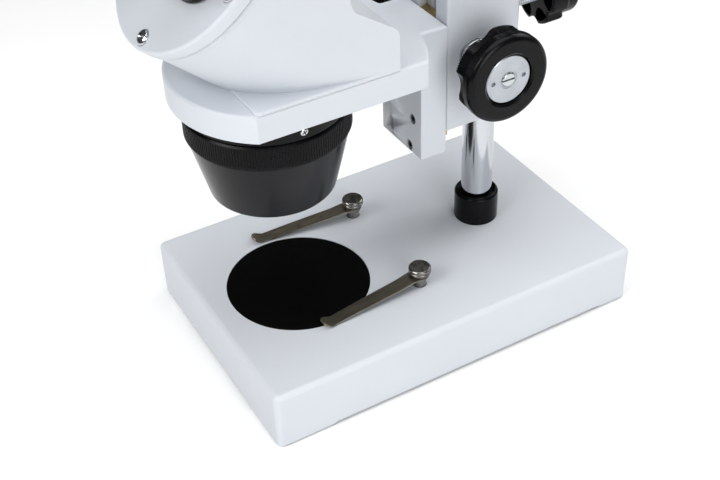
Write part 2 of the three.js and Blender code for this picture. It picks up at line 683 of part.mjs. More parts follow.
function slideAndRack() {
  part('dovetail_slide', dovetail(0, SLIDE_Z0, SLIDE_Z1), BRASS);
  const pitch = 2 * Math.PI * PITCH_R / TEETH;
  const y0 = BRACKET_Y1 + SLIDE_T;
  const root = PINION_Y - PITCH_R - TOOTH_H / 2 + 0.1;
  const tip = root + TOOTH_H - 0.35;
  const below = Math.floor((PINION_Z - SLIDE_Z0 - 4) / pitch);
  const above = Math.floor((SLIDE_Z1 - PINION_Z - 2) / pitch);
  const points = [[y0, PINION_Z - (below + 0.5) * pitch]];
  for (let k = -below; k <= above; k += 1) {
    const z = PINION_Z + k * pitch;
    points.push([root, z - pitch * 0.3], [tip, z - pitch * 0.1]);
    points.push([tip, z + pitch * 0.1], [root, z + pitch * 0.3]);
  }
  points.push([y0, PINION_Z + (above + 0.5) * pitch]);
  part('focus_rack', sideways(prism(points, -RACK_HALF, RACK_HALF)), BRASS);
}

// ---- head ----------------------------------------------------------------
// Section across the eye axis, `back` behind the cover seat: round in front,
// squarer behind, and narrowing to the arm plate's width.
function headSection(back, wall) {
  const n = 36;
  const k = Math.min(1, back / HEAD_TAPER);
  const s = k * k * (3 - 2 * k);
  const half = (DISC_R - 0.7) * (1 - s) + (ARM_HALF - 0.05) * s - wall;
  const deep = DISC_R - 0.7 - wall;
  const ring = [];
  for (let i = 0; i < n; i += 1) {
    const a = 2 * Math.PI * (i + 0.5) / n;
    const c = Math.cos(a);
    const d = Math.sin(a);
    const power = d > 0 ? 2 / (2 + 5 * s) : 1;
    const x = half * Math.sign(c) * Math.abs(c) ** power;
    const u = deep * Math.sign(d) * Math.abs(d) ** power;
    ring.push([x, u, -DISC_T - SEAT - back]);
  }
  return ring;
}

// Side view of the head casting, as [y, z] points behind and above the foot.
function headProfile(wall, low) {
  const back = FOOT_Y1 - wall;
  const points = [[-90, low], [back, low], [back, HEAD_STEP - wall]];
  points.push([HEAD_WAIST - wall, HEAD_STEP + 13 - wall], [HEAD_WAIST - 1.7 - wall, HEAD_STEP + 18]);
  points.push([HEAD_WAIST - 7 - wall, DISC_Z + 40], [-90, DISC_Z + 40]);
  return sideways(prism(points, -60, 60));
}

function headBody() {
  const steps = [0, 15, 32, HEAD_TAPER, 105];
  const skin = (wall, first) => onCover(loft([first, ...steps.slice(1)].map((b) => headSection(b, wall))));
  const corner = 2;
  const half = ARM_HALF - 0.05;
  const slab = loft([ARM_TOP, ARM_TOP + HEAD_SLAB].map((z) =>
    roundedRing(-half, half, FOOT_Y0, FOOT_Y1, corner, z)));
  const outer = common(skin(0, 0), headProfile(0, ARM_TOP));
  const inner = common(skin(HEAD_WALL, -2), headProfile(HEAD_WALL, ARM_TOP - 1));
  part('head_body', cut(join(outer, slab), inner), WHITE);
}

function frontCover() {
  const r = DISC_R;
  const profile = [[0, -DISC_T], [r - 0.6, -DISC_T], [r, -DISC_T + 0.6], [r, -2.2]];
  profile.push([r - 0.35, -0.9], [r - 1.2, 0], [0, 0]);
  const tools = [];
  for (const [x, y] of coverScrews()) {
    tools.push(rod(COVER_SCREW_R + 0.1, -1.2, 1, 14).translate(x, y, 0));
  }
  for (const s of [-1, 1]) {
    tools.push(rod(6, -DISC_T - 1, 1, 16).translate(s * PIVOT_X, PIVOT_U, 0));
  }
  part('front_cover', onCover(cut(turned(profile, 44), ...tools)), WHITE);
}

function coverScrews() {
  const list = [];
  for (let i = 0; i < COVER_SCREWS; i += 1) {
    list.push(polar(COVER_PCD, COVER_START + 360 * i / COVER_SCREWS));
  }
  return list;
}

function coverFixings() {
  coverScrews().forEach(([x, y], i) => {
    const r = COVER_SCREW_R;
    let g = turned([[0, -1.1], [r, -1.1], [r, 0.2], [r * 0.7, 1], [0, 1.3]], 14);
    g = cut(g, block(-1.7, 1.7, -0.35, 0.35, 0.4, 2), block(-0.35, 0.35, -1.7, 1.7, 0.4, 2));
    part(`cover_screw_${i + 1}`, onCover(g.translate(x, y, 0)), CHROME);
  });
}

// ---- objective -----------------------------------------------------------
function objectiveCollar() {
  const z1 = ARM_Z;
  const z0 = ARM_Z - OBJ_COLLAR_H;
  const r = OBJ_COLLAR_R;
  const profile = [[SPINDLE_R + 0.1, z0], [r, z0], [r, z1 - 1.5], [r - 1.5, z1], [SPINDLE_R + 0.1, z1]];
  profile.push([SPINDLE_R + 0.1, z0]);
  const hole = alongX(rod(1.9, r - 3, r + 2, 16));
  hole.translate(0, 0, (z0 + z1) / 2);
  part('objective_collar', cut(turned(profile, 40), hole).translate(0, OBJ_Y, 0), BLACK);
  let screw = turned([[0, r - 2.9], [1.8, r - 2.9], [1.8, r - 0.2], [1.2, r + 0.2], [0, r + 0.3]], 16);
  screw = cut(screw, block(-1, 1, -0.25, 0.25, r - 0.4, r + 1), block(-0.25, 0.25, -1, 1, r - 0.4, r + 1));
  screw = alongX(screw).translate(0, OBJ_Y, (z0 + z1) / 2);
  part('collar_screw', screw, CHROME);
  const base = ARM_Z + 6.5;
  const low = ringBottom() + 3;
  const spindle = [[0, low], [SPINDLE_R + 3, low], [SPINDLE_R + 3, low + 1.5], [SPINDLE_R, low + 1.5]];
  spindle.push([SPINDLE_R, base], [0, base]);
  part('turret_spindle', turned(spindle, 20).translate(0, OBJ_Y, 0), STEEL);
}

function ringBottom() {
  return ARM_Z - OBJ_COLLAR_H - SLIP - RING_H;
}

function turret() {
  const zb = ringBottom();
  const zt = zb + RING_H;
  const r = RING_R;
  const shelf = zb + 4.5 + SLIP;
  const bore = SPINDLE_R + SLIP;
  const ring = [[bore, shelf], [r - 3, shelf], [r - 3, zb], [r - 0.5, zb], [r, zb + 0.5], [r, zt - 0.5]];
  ring.push([r - 0.5, zt], [bore, zt], [bore, shelf]);
  part('turret_ring', turned(ring, 40).translate(0, OBJ_Y, 0), BLACK);
  const slope = (CONE_TOP_R - CONE_BOT_R) / (zb - CONE_BOT_Z);
  const wall = 2.2;
  const floor = CONE_BOT_Z + 4;
  const cone = [[0, floor], [CONE_BOT_R - wall, floor], [CONE_BOT_R - wall, CONE_BOT_Z + 0.4]];
  cone.push([CONE_BOT_R - wall + 0.4, CONE_BOT_Z], [CONE_BOT_R - 0.4, CONE_BOT_Z]);
  cone.push([CONE_BOT_R, CONE_BOT_Z + 0.6], [CONE_TOP_R, zb], [CONE_TOP_R - 2.5, zb]);
  cone.push([CONE_TOP_R - 2.5 - slope * (zb - floor - 3), floor + 3]);
  cone.push([0, floor + 3]);
  const tools = objectiveWindows().map(([x, y]) => rod(5.6, floor - 1, floor + 4, 16).translate(x, y, 0));
  part('turret_cone', cut(turned(cone, 40), ...tools).translate(0, OBJ_Y, 0), GLOSSY);
  for (const [i, name] of ['low', 'high'].entries()) {
    objectiveWindows().slice(2 * i, 2 * i + 2).forEach(([x, y], k) => {
      const bowl = [[0, floor + 0.3], [3.6, floor + 0.1], [5.5, floor + 0.1]];
      const glass = turned(bowl.concat([[5.5, floor + 3], [0, floor + 3]]), 16);
      part(`objective_${name}_${k + 1}`, glass.translate(x, OBJ_Y + y, 0), GLASS);
    });
  }
}

function objectiveWindows() {
  return [[-11.5, 0], [11.5, 0], [0, -11.5], [0, 11.5]];
}

// ---- eye tubes -----------------------------------------------------------
function eyeSide(name) {
  const s = name === 'left' ? -1 : 1;
  const pivot = (g) => onCover(g.translate(s * PIVOT_X, PIVOT_U, 0));
  const axis = (g) => onCover(g.translate(s * EYE_CX, EYE_CU, 0));
  const pin = [[0, -DISC_T + 1], [5.8, -DISC_T + 1], [5.8, SEAT]];
  const rim = [[HUB_R - 0.4, SEAT], [HUB_R, SEAT + 0.4], [HUB_R, HUB_T], [0, HUB_T]];
  const hub = turned(pin.concat(rim), 28);
  part(`swing_ring_${name}`, pivot(hub), BLACK);
  part(`prism_housing_${name}`, onCover(prismHousing(s)), WHITE);
  const z0 = TUBE_Z0;
  const z1 = z0 + TUBE_L;
  const tube = [[0, z0], [TUBE_R + 1.2, z0], [TUBE_R + 1.2, z0 + 2], [TUBE_R, z0 + 3], [TUBE_R, z1]];
  tube.push([TUBE_BORE, z1], [TUBE_BORE, z0 + 2], [0, z0 + 2]);
  part(`eye_tube_${name}`, axis(turned(tube, 24)), BLACK);
  const b = TUBE_BORE - SLIP;
  const z2 = EYE_Z0;
  const z3 = z2 + EYE_L;
  const body = [[b - 1.2, z1 - 14], [b, z1 - 14], [b, z2], [EYE_R - 0.5, z2], [EYE_R, z2 + 0.5]];
  body.push([EYE_R, z3 - 1], [EYE_R - 1.5, z3], [b - 1.2, z3], [b - 1.2, z1 - 14]);
  part(`eyepiece_${name}`, axis(turned(body, 24)), BLACK);
  const glass = b - 1.2 - SLIP;
  const lens = turned([[0, z3 - 5], [glass, z3 - 5], [glass, z3 - 3], [6, z3 - 1.6], [0, z3 - 1]], 24);
  part(`eye_lens_${name}`, axis(lens), GLASS);
  const c0 = CUP_Z0;
  const c1 = EYE_END;
  const cup = [[b - 1, c0], [EYE_R - 1.6, c0], [EYE_R - 0.4, c0 + 2], [EYE_R - 1.6, c1 - 1.5], [EYE_R, c1]];
  cup.push([EYE_R - 3, c1 - 1.4], [EYE_R - 3, c0 + 2.4], [b - 1, c0 + 1.6], [b - 1, c0]);
  part(`eyecup_${name}`, axis(turned(cup, 24)), RUBBER);
  if (name === 'left') {
    const d0 = z0 + 6;
    const inner = TUBE_R + SLIP;
    const ring = [[inner, d0], [DIOPTER_R - 0.4, d0], [DIOPTER_R, d0 + 0.4]];
    ring.push([DIOPTER_R, d0 + DIOPTER_L - 0.4]);
    ring.push([DIOPTER_R - 0.4, d0 + DIOPTER_L], [inner, d0 + DIOPTER_L], [inner, d0]);
    part('dioptre_ring', axis(turned(ring, 36)), BLACK);
  }
}

// Two round ends, one over the swing axis and one under the eye tube.
function prismHousing(s) {
  const z0 = HOUSE_Z0;
  const z1 = HOUSE_Z0 + PRISM_T;
  const ring = (r0, r1, z) => {
    const points = [];
    const turn = s > 0 ? EYE_SWING : 180 - EYE_SWING;
    for (let i = 0; i <= 12; i += 1) {
      const [x, y] = polar(r1, turn - 90 + 180 * i / 12);
      points.push([s * EYE_CX + x, EYE_CU + y, z]);
    }
    for (let i = 0; i <= 12; i += 1) {
      const [x, y] = polar(r0, turn + 90 + 180 * i / 12);
      points.push([s * PIVOT_X + x, PIVOT_U + y, z]);
    }
    return points;
  };
  const a = HUB_R - 0.3;
  return loft([ring(a - 1, PRISM_R - 1, z0), ring(a, PRISM_R, z0 + 1.5), ring(a, PRISM_R, z1 - 3),
    ring(a - 0.9, PRISM_R - 0.9, z1 - 0.9), ring(a - 3, PRISM_R - 2, z1)]);
}

baseCasting();
feet();
stagePlate();
postAndFittings();
clips();
sleeve();
focusBlock();
bushes();
clamp();
pinionShaft();
knobs();
armCasting();
bracketFixings();
slideAndRack();
headBody();
frontCover();
coverFixings();
objectiveCollar();
turret();
eyeSide('left');
eyeSide('right');

export default group;
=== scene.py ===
# %% [markdown]
# # A stereo microscope on a post stand
# The engineering model of the microscope is already packed as a fixed frame of
# named parts on named moving bodies. This lesson dresses that frame: every part
# is rebuilt or repainted so that it looks like cast, painted, plated and moulded
# metal and plastic, and everything still moves with the joints.

# %% Load the frame
import json
import math

import bmesh
import bpy
from mathutils import Matrix, Vector


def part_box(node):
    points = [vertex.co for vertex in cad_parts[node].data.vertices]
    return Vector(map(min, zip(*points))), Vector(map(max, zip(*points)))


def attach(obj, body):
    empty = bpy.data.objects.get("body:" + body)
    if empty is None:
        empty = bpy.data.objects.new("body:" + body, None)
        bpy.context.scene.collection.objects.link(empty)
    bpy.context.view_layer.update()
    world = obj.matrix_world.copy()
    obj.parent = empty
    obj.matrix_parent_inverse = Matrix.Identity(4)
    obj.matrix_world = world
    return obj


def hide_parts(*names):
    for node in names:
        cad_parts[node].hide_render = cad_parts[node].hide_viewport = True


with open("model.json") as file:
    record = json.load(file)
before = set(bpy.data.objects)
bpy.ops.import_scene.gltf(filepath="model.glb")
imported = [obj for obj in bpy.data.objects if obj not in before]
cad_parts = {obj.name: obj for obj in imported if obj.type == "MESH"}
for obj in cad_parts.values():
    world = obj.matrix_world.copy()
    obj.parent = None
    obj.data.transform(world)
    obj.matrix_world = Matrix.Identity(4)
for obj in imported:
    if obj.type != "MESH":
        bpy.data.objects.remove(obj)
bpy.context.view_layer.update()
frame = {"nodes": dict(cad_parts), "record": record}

MM = 0.001
joints = {j["name"]: j for j in frame["record"]["behaviour"]["joints"]}

# %% [markdown]
# ## The camera first
# The camera looks down at the right front corner of the base with a mild
# telephoto lens. It is described the way a photographer would say it: which way
# round the object, how high, how far, and how much the picture leans.

# %% Camera
AZIMUTH, ELEVATION, LEAN = 61.472, 38.29, -2.359
DISTANCE, LENS = 0.57565, 61.0
AIM = Vector((-0.040306, 0.033344, 0.0))


def viewpoint(azimuth, elevation, lean, distance, aim):
    a, e, r = (math.radians(v) for v in (azimuth, elevation, lean))
    back = Vector((math.sin(a) * math.cos(e), -math.cos(a) * math.cos(e), math.sin(e)))
    right = Vector((0, 0, 1)).cross(back).normalized()
    up = back.cross(right)
    x = right * math.cos(r) + up * math.sin(r)
    y = -right * math.sin(r) + up * math.cos(r)
    turn = Matrix((x, y, back)).transposed().to_4x4()
    return Matrix.Translation(aim + back * distance) @ turn


camera_data = bpy.data.cameras.new("studio_camera")
camera_data.lens = LENS
camera_data.sensor_width = 36
camera = bpy.data.objects.new("studio_camera", camera_data)
bpy.context.scene.collection.objects.link(camera)
camera.matrix_world = viewpoint(AZIMUTH, ELEVATION, LEAN, DISTANCE, AIM)
bpy.context.scene.camera = camera
print("camera at", [round(v, 3) for v in camera.location])

# %% [markdown]
# ## Shape helpers
# Nearly all of this object is turned, lofted or cut from a slab, so a few small
# builders are enough. The first ones work on outlines. `soften` replaces each
# sharp corner of an outline by a short curve, because no real edge is perfectly
# sharp and it is the soft edge that catches the light.

# %% Outline builders
def mm(points):
    """A profile written in millimetres, in metres."""
    return [(x * MM, z * MM) for x, z in points]


def looped(points):
    """An outline with its first point again at its end."""
    return points + points[:1]


def quarter_round(radius, r, top, steps=8):
    """A quarter circle that ends on a flat face, from the outside inwards."""
    angles = [math.radians(90 * k / steps) for k in range(steps + 1)]
    return [(r - radius + radius * math.cos(a), top - radius + radius * math.sin(a)) for a in angles]


def soften(points, radius, steps=4, closed=False):
    out = []
    n = len(points)
    for i, p in enumerate(points):
        p = Vector(p)
        if not closed and i in (0, n - 1):
            out.append(p)
            continue
        a, b = Vector(points[i - 1]), Vector(points[(i + 1) % n])
        la, lb = (a - p).length, (b - p).length
        if la < 1e-9 or lb < 1e-9:
            out.append(p)
            continue
        r = min(radius, la * 0.45, lb * 0.45)
        s, e = p + (a - p) * (r / la), p + (b - p) * (r / lb)
        for k in range(steps + 1):
            t = k / steps
            out.append(s * (1 - t) ** 2 + p * 2 * t * (1 - t) + e * t ** 2)
    return out


def rounded_rectangle(x0, x1, y0, y1, radius, steps=10):
    points = []
    for cx, cy, start in ((x1, y1, 0), (x0, y1, 90), (x0, y0, 180), (x1, y0, 270)):
        cx -= math.copysign(radius, cx - (x0 + x1) / 2)
        cy -= math.copysign(radius, cy - (y0 + y1) / 2)
        for k in range(steps + 1):
            a = math.radians(start + 90 * k / steps)
            points.append((cx + radius * math.cos(a), cy + radius * math.sin(a)))
    return points


print("a softened square has", len(soften([(0, 0), (1, 0), (1, 1), (0, 1)], 0.1, closed=True)), "points")

# %% [markdown]
# The surface builders return points and faces in metres: `turned` sweeps a
# profile about Z, `lofted` skins a stack of rings, and the others are the plain
# cases of those two.

# %% Surface builders
def turned(profile, around=96):
    """Points (radius, height) in metres turned about Z; ends on the axis or on each other."""
    closed = (Vector(profile[0]) - Vector(profile[-1])).length < 1e-9
    rows = profile[:-1] if closed else profile
    verts, index = [], []
    for r, h in rows:
        if r < 1e-7:
            index.append([len(verts)] * around)
            verts.append((0.0, 0.0, h))
        else:
            index.append(list(range(len(verts), len(verts) + around)))
            for i in range(around):
                a = 2 * math.pi * i / around
                verts.append((r * math.cos(a), r * math.sin(a), h))
    pairs = list(zip(index, index[1:])) + ([(index[-1], index[0])] if closed else [])
    faces = []
    for low, high in pairs:
        for i in range(around):
            j = (i + 1) % around
            face = [low[i], low[j], high[j], high[i]]
            face = [v for k, v in enumerate(face) if v != face[k - 1]]
            if len(face) > 2:
                faces.append(face)
    return verts, faces


def lofted(rings):
    n = len(rings[0])
    verts = [tuple(p) for ring in rings for p in ring]
    faces = [list(range(n))[::-1], [(len(rings) - 1) * n + i for i in range(n)]]
    for k in range(len(rings) - 1):
        for i in range(n):
            j = (i + 1) % n
            faces.append([k * n + i, k * n + j, (k + 1) * n + j, (k + 1) * n + i])
    return verts, faces


def slab(outline, z0, z1):
    return lofted([[(p[0], p[1], z) for p in outline] for z in (z0, z1)])


def rod(radius, z0, z1, around=48, at=(0, 0)):
    verts, faces = turned([(0, z0), (radius, z0), (radius, z1), (0, z1)], around)
    return [(x + at[0], y + at[1], z) for x, y, z in verts], faces


def brick(x0, x1, y0, y1, z0, z1):
    return slab([(x1, y1), (x0, y1), (x0, y0), (x1, y0)], z0, z1)


print("a rod has", len(rod(1, 0, 1)[1]), "faces and a brick", len(brick(0, 1, 0, 1, 0, 1)[1]))

# %% [markdown]
# The second set turns those points into objects, cuts one solid with others the
# way a mill would, and rounds the edges that are left. Every modifier is applied
# at once, so that each finished piece is a plain mesh in its own place.

# %% Object helpers
def solid(name, shape, place=None):
    verts, faces = shape
    mesh = bpy.data.meshes.new(name)
    mesh.from_pydata([tuple(v) for v in verts], [], faces)
    b = bmesh.new()
    b.from_mesh(mesh)
    bmesh.ops.remove_doubles(b, verts=b.verts, dist=1e-7)
    if place is not None:
        b.transform(place)
    bmesh.ops.recalc_face_normals(b, faces=b.faces)
    b.to_mesh(mesh)
    b.free()
    obj = bpy.data.objects.new(name, mesh)
    bpy.context.scene.collection.objects.link(obj)
    return obj


def settle(obj):
    """Applies the modifiers and leaves a plain mesh."""
    depsgraph = bpy.context.evaluated_depsgraph_get()
    depsgraph.update()
    mesh = bpy.data.meshes.new_from_object(obj.evaluated_get(depsgraph))
    obj.modifiers.clear()
    old = obj.data
    obj.data = mesh
    bpy.data.meshes.remove(old)
    return obj


def machine(obj, cutters=(), joins=()):
    for other, operation in [(o, "UNION") for o in joins] + [(o, "DIFFERENCE") for o in cutters]:
        m = obj.modifiers.new("machining", "BOOLEAN")
        m.operation, m.solver, m.object = operation, "EXACT", other
        settle(obj)
        bpy.data.objects.remove(other)
    return obj


def ease_edges(obj, width, segments=3, angle=35):
    m = obj.modifiers.new("edges", "BEVEL")
    m.width, m.segments, m.limit_method = width, segments, "ANGLE"
    m.angle_limit = math.radians(angle)
    return settle(obj)


# %% [markdown]
# The third set measures the engineering parts, so that every new piece is made
# to the size and in the place of the part it stands for. `dress` then gives a
# piece its finish and its body, and hides the parts it replaces.

# %% Measuring and dressing
def axes_at(point, z_axis, x_axis):
    z = Vector(z_axis).normalized()
    x = Vector(x_axis).normalized()
    y = z.cross(x)
    return Matrix.Translation(Vector(point)) @ Matrix((x, y, z)).transposed().to_4x4()


def middle(node):
    low, high = (Vector(v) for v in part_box(node))
    return (low + high) / 2


def core(node):
    """Mean of a turned node's corners: on its axis even when it leans and its ends differ."""
    corners = {tuple(round(c, 6) for c in v.co) for v in frame["nodes"][node].data.vertices}
    return sum((Vector(c) for c in corners), Vector()) / len(corners)


def reach(node, place):
    """Lowest and highest point along the place's Z, and the greatest radius about it."""
    inverse = place.inverted()
    points = [inverse @ v.co for v in frame["nodes"][node].data.vertices]
    return (min(p.z for p in points), max(p.z for p in points),
            max(math.hypot(p.x, p.y) for p in points))


def reach_mm(node, place):
    return [v / MM for v in reach(node, place)]


def upright(point):
    """A place standing on the table under a point, with its Z up."""
    return Matrix.Translation((point.x, point.y, 0))


def dress(obj, finish, body, *nodes, sharp=32):
    """Finish, shading that keeps broad faces flat, body and engineering nodes."""
    obj.data.materials.clear()
    obj.data.materials.append(finish)
    for polygon in obj.data.polygons:
        polygon.use_smooth = True
    obj.data.set_sharp_from_angle(angle=math.radians(sharp))
    m = obj.modifiers.new("even_shading", "WEIGHTED_NORMAL")
    m.keep_sharp, m.weight = True, 70
    settle(obj)
    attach(obj, body)
    if nodes:
        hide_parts(*nodes)
    return obj


_, post_top, post_radius = reach_mm("post", upright(middle("post")))
print("post radius mm", round(post_radius, 2), "top mm", round(post_top, 1))

# %% [markdown]
# ## Finishes
# Each finish is one shader with its uniform values set on the shader itself, and
# small noises for what varies over the surface: the orange peel of powder paint,
# the fine grain of moulded plastic, turning rings on metal, and handling marks.


def new_finish(name, colour, roughness, metallic=0.0, coat=0.0, specular=0.5):
    m = bpy.data.materials.new(name)
    m.use_nodes = True
    shader = m.node_tree.nodes["Principled BSDF"]
    shader.inputs["Base Color"].default_value = (*colour, 1)
    shader.inputs["Roughness"].default_value = roughness
    shader.inputs["Metallic"].default_value = metallic
    shader.inputs["Coat Weight"].default_value = coat
    shader.inputs["Coat Roughness"].default_value = 0.08
    shader.inputs["Specular IOR Level"].default_value = specular
    return m


def coordinates(m, stretch=(1, 1, 1)):
    nodes, links = m.node_tree.nodes, m.node_tree.links
    where = nodes.new("ShaderNodeTexCoord")
    mapping = nodes.new("ShaderNodeMapping")
    mapping.inputs["Scale"].default_value = stretch
    links.new(where.outputs["Object"], mapping.inputs["Vector"])
    return mapping.outputs["Vector"]


def noise(m, scale, detail=3.0, stretch=(1, 1, 1)):
    node = m.node_tree.nodes.new("ShaderNodeTexNoise")
    node.inputs["Scale"].default_value = scale
    node.inputs["Detail"].default_value = detail
    m.node_tree.links.new(coordinates(m, stretch), node.inputs["Vector"])
    return node.outputs["Fac"]


def spread(m, value, low, high, start=0.3, end=0.7):
    node = m.node_tree.nodes.new("ShaderNodeMapRange")
    node.inputs["From Min"].default_value = start
    node.inputs["From Max"].default_value = end
    node.inputs["To Min"].default_value = low
    node.inputs["To Max"].default_value = high
    m.node_tree.links.new(value, node.inputs["Value"])
    return node.outputs["Result"]


def tint(m, value, first, second, start=0.3, end=0.7):
    ramp = m.node_tree.nodes.new("ShaderNodeValToRGB")
    ramp.color_ramp.elements[0].position = start
    ramp.color_ramp.elements[1].position = end
    ramp.color_ramp.elements[0].color = (*first, 1)
    ramp.color_ramp.elements[1].color = (*second, 1)
    m.node_tree.links.new(value, ramp.inputs["Fac"])
    m.node_tree.links.new(ramp.outputs["Color"], m.node_tree.nodes["Principled BSDF"].inputs["Base Color"])


def roughen(m, value):
    m.node_tree.links.new(value, m.node_tree.nodes["Principled BSDF"].inputs["Roughness"])


def relief(m, *layers):
    """Each layer is (height, strength, depth in metres)."""
    normal = None
    for height, strength, depth in layers:
        bump = m.node_tree.nodes.new("ShaderNodeBump")
        bump.inputs["Strength"].default_value = strength
        bump.inputs["Distance"].default_value = depth
        m.node_tree.links.new(height, bump.inputs["Height"])
        if normal is not None:
            m.node_tree.links.new(normal, bump.inputs["Normal"])
        normal = bump.outputs["Normal"]
    m.node_tree.links.new(normal, m.node_tree.nodes["Principled BSDF"].inputs["Normal"])


# %% [markdown]
# The castings are powder painted: a cool white with a very fine orange peel, a
# slow drift in tone, and a slightly cleaner sheen where hands have rubbed it.

# %% Painted castings
paint = new_finish("powder_paint", (0.60, 0.63, 0.68), 0.42, specular=0.35)
tint(paint, noise(paint, 14, 4), (0.585, 0.615, 0.660), (0.615, 0.645, 0.685))
roughen(paint, spread(paint, noise(paint, 60, 4), 0.36, 0.5))
relief(paint, (noise(paint, 1300, 2), 0.10, 0.00012), (noise(paint, 190, 2), 0.05, 0.0002))
print("finish", paint.name)

# %% [markdown]
# Three blacks are kept apart: the satin moulded plastic of knobs and tubes, the
# dead matt stage plate, and the polished dark shell of the objective turret.

# %% Black finishes
moulded = new_finish("moulded_black", (0.002, 0.002, 0.0025), 0.28, specular=0.14)
tint(moulded, noise(moulded, 45, 4), (0.0015, 0.0015, 0.002), (0.003, 0.003, 0.004))
roughen(moulded, spread(moulded, noise(moulded, 120, 5), 0.2, 0.32))
relief(moulded, (noise(moulded, 2600, 2), 0.14, 0.00008))

stage_black = new_finish("stage_matt", (0.0012, 0.0012, 0.0013), 0.6, specular=0.04)
tint(stage_black, noise(stage_black, 30, 5), (0.001, 0.001, 0.001), (0.002, 0.002, 0.0022))
roughen(stage_black, spread(stage_black, noise(stage_black, 260, 6), 0.55, 0.7))
relief(stage_black, (noise(stage_black, 1800, 3), 0.05, 0.00006))

shell = new_finish("turret_shell", (0.003, 0.003, 0.004), 0.2, specular=0.2)
tint(shell, noise(shell, 34, 5), (0.0025, 0.0025, 0.0035), (0.004, 0.004, 0.0055))
roughen(shell, spread(shell, noise(shell, 60, 3), 0.16, 0.24))
relief(shell, (noise(shell, 500, 2), 0.02, 0.00005))

rubber = new_finish("soft_rubber", (0.008, 0.008, 0.008), 0.75, specular=0.2)
tint(rubber, noise(rubber, 60, 5), (0.006, 0.006, 0.006), (0.012, 0.0115, 0.011))
relief(rubber, (noise(rubber, 1500, 4), 0.35, 0.00015))
print("finishes", moulded.name, stage_black.name, shell.name, rubber.name)

# %% [markdown]
# The metals differ in how they were made. Chrome is nearly a mirror with faint
# wiping marks; turned steel keeps its tool rings; the clip blades are rolled
# spring strip with a grain along their length; brass was milled.

# %% Metal finishes
chrome = new_finish("post_chrome", (0.56, 0.575, 0.60), 0.10, 1.0)
roughen(chrome, spread(chrome, noise(chrome, 55, 5, (1, 1, 0.15)), 0.07, 0.19))
relief(chrome, (noise(chrome, 900, 2, (1, 1, 0.05)), 0.05, 0.00003))

nickel = new_finish("dark_nickel", (0.26, 0.25, 0.23), 0.22, 1.0)
tint(nickel, noise(nickel, 260, 4), (0.21, 0.20, 0.18), (0.33, 0.32, 0.30))
roughen(nickel, spread(nickel, noise(nickel, 420, 4, (1, 1, 4)), 0.18, 0.36))
relief(nickel, (noise(nickel, 700, 2, (0.3, 0.3, 6)), 0.12, 0.00004))

blackened = new_finish("blackened_steel", (0.022, 0.022, 0.024), 0.38, 0.7)
tint(blackened, noise(blackened, 300, 4), (0.014, 0.014, 0.016), (0.040, 0.038, 0.037))
relief(blackened, (noise(blackened, 1500, 3), 0.15, 0.00005))

spring = new_finish("spring_strip", (0.27, 0.24, 0.19), 0.4, 1.0)
tint(spring, noise(spring, 70, 5, (6, 1, 1)), (0.235, 0.208, 0.163), (0.31, 0.28, 0.225))
roughen(spring, spread(spring, noise(spring, 330, 5, (7, 0.8, 1)), 0.26, 0.46))
relief(spring, (noise(spring, 800, 3, (9, 0.5, 1)), 0.10, 0.00005))

satin_metal = new_finish("satin_aluminium", (0.46, 0.485, 0.52), 0.36, 1.0)
tint(satin_metal, noise(satin_metal, 130, 5), (0.42, 0.445, 0.48), (0.50, 0.525, 0.56))
roughen(satin_metal, spread(satin_metal, noise(satin_metal, 420, 5), 0.30, 0.44))
relief(satin_metal, (noise(satin_metal, 2400, 3), 0.22, 0.00005))

brass = new_finish("milled_brass", (0.50, 0.36, 0.14), 0.32, 1.0)
tint(brass, noise(brass, 90, 5), (0.40, 0.28, 0.10), (0.58, 0.43, 0.19))
roughen(brass, spread(brass, noise(brass, 300, 5, (1, 1, 5)), 0.24, 0.45))
relief(brass, (noise(brass, 700, 2, (1, 1, 7)), 0.15, 0.00005))

lens = new_finish("coated_lens", (0.035, 0.045, 0.075), 0.05, coat=1.0, specular=0.8)
tint(lens, noise(lens, 40, 2), (0.030, 0.040, 0.085), (0.055, 0.040, 0.075))
relief(lens, (noise(lens, 30, 1), 0.02, 0.0002))

# %% [markdown]
# ## Things that repeat
# Ribs, screws and rack teeth are all one small shape set out many times. Two
# Geometry Nodes trees do this: one sets the shape out around an axis, the other
# along a straight line. Each ends by making the copies real and giving them
# their finish, and the result is kept as a plain mesh.

# %% Geometry Nodes trees
def repeat_tree(name, inputs):
    tree = bpy.data.node_groups.new(name, "GeometryNodeTree")
    tree.interface.new_socket("Geometry", in_out="INPUT", socket_type="NodeSocketGeometry")
    for label, kind in inputs:
        tree.interface.new_socket(label, in_out="INPUT", socket_type=kind)
    tree.interface.new_socket("Geometry", in_out="OUTPUT", socket_type="NodeSocketGeometry")
    return tree, tree.nodes.new("NodeGroupInput"), tree.nodes.new("NodeGroupOutput")


def maths(tree, operation, a, b):
    node = tree.nodes.new("ShaderNodeMath")
    node.operation = operation
    for socket, value in zip(node.inputs, (a, b)):
        if isinstance(value, (int, float)):
            socket.default_value = value
        else:
            tree.links.new(value, socket)
    return node.outputs[0]


def finish_tree(tree, start, end, geometry):
    real = tree.nodes.new("GeometryNodeRealizeInstances")
    paint_it = tree.nodes.new("GeometryNodeSetMaterial")
    tree.links.new(geometry, real.inputs["Geometry"])
    tree.links.new(real.outputs["Geometry"], paint_it.inputs["Geometry"])
    tree.links.new(start.outputs["Finish"], paint_it.inputs["Material"])
    tree.links.new(paint_it.outputs["Geometry"], end.inputs["Geometry"])


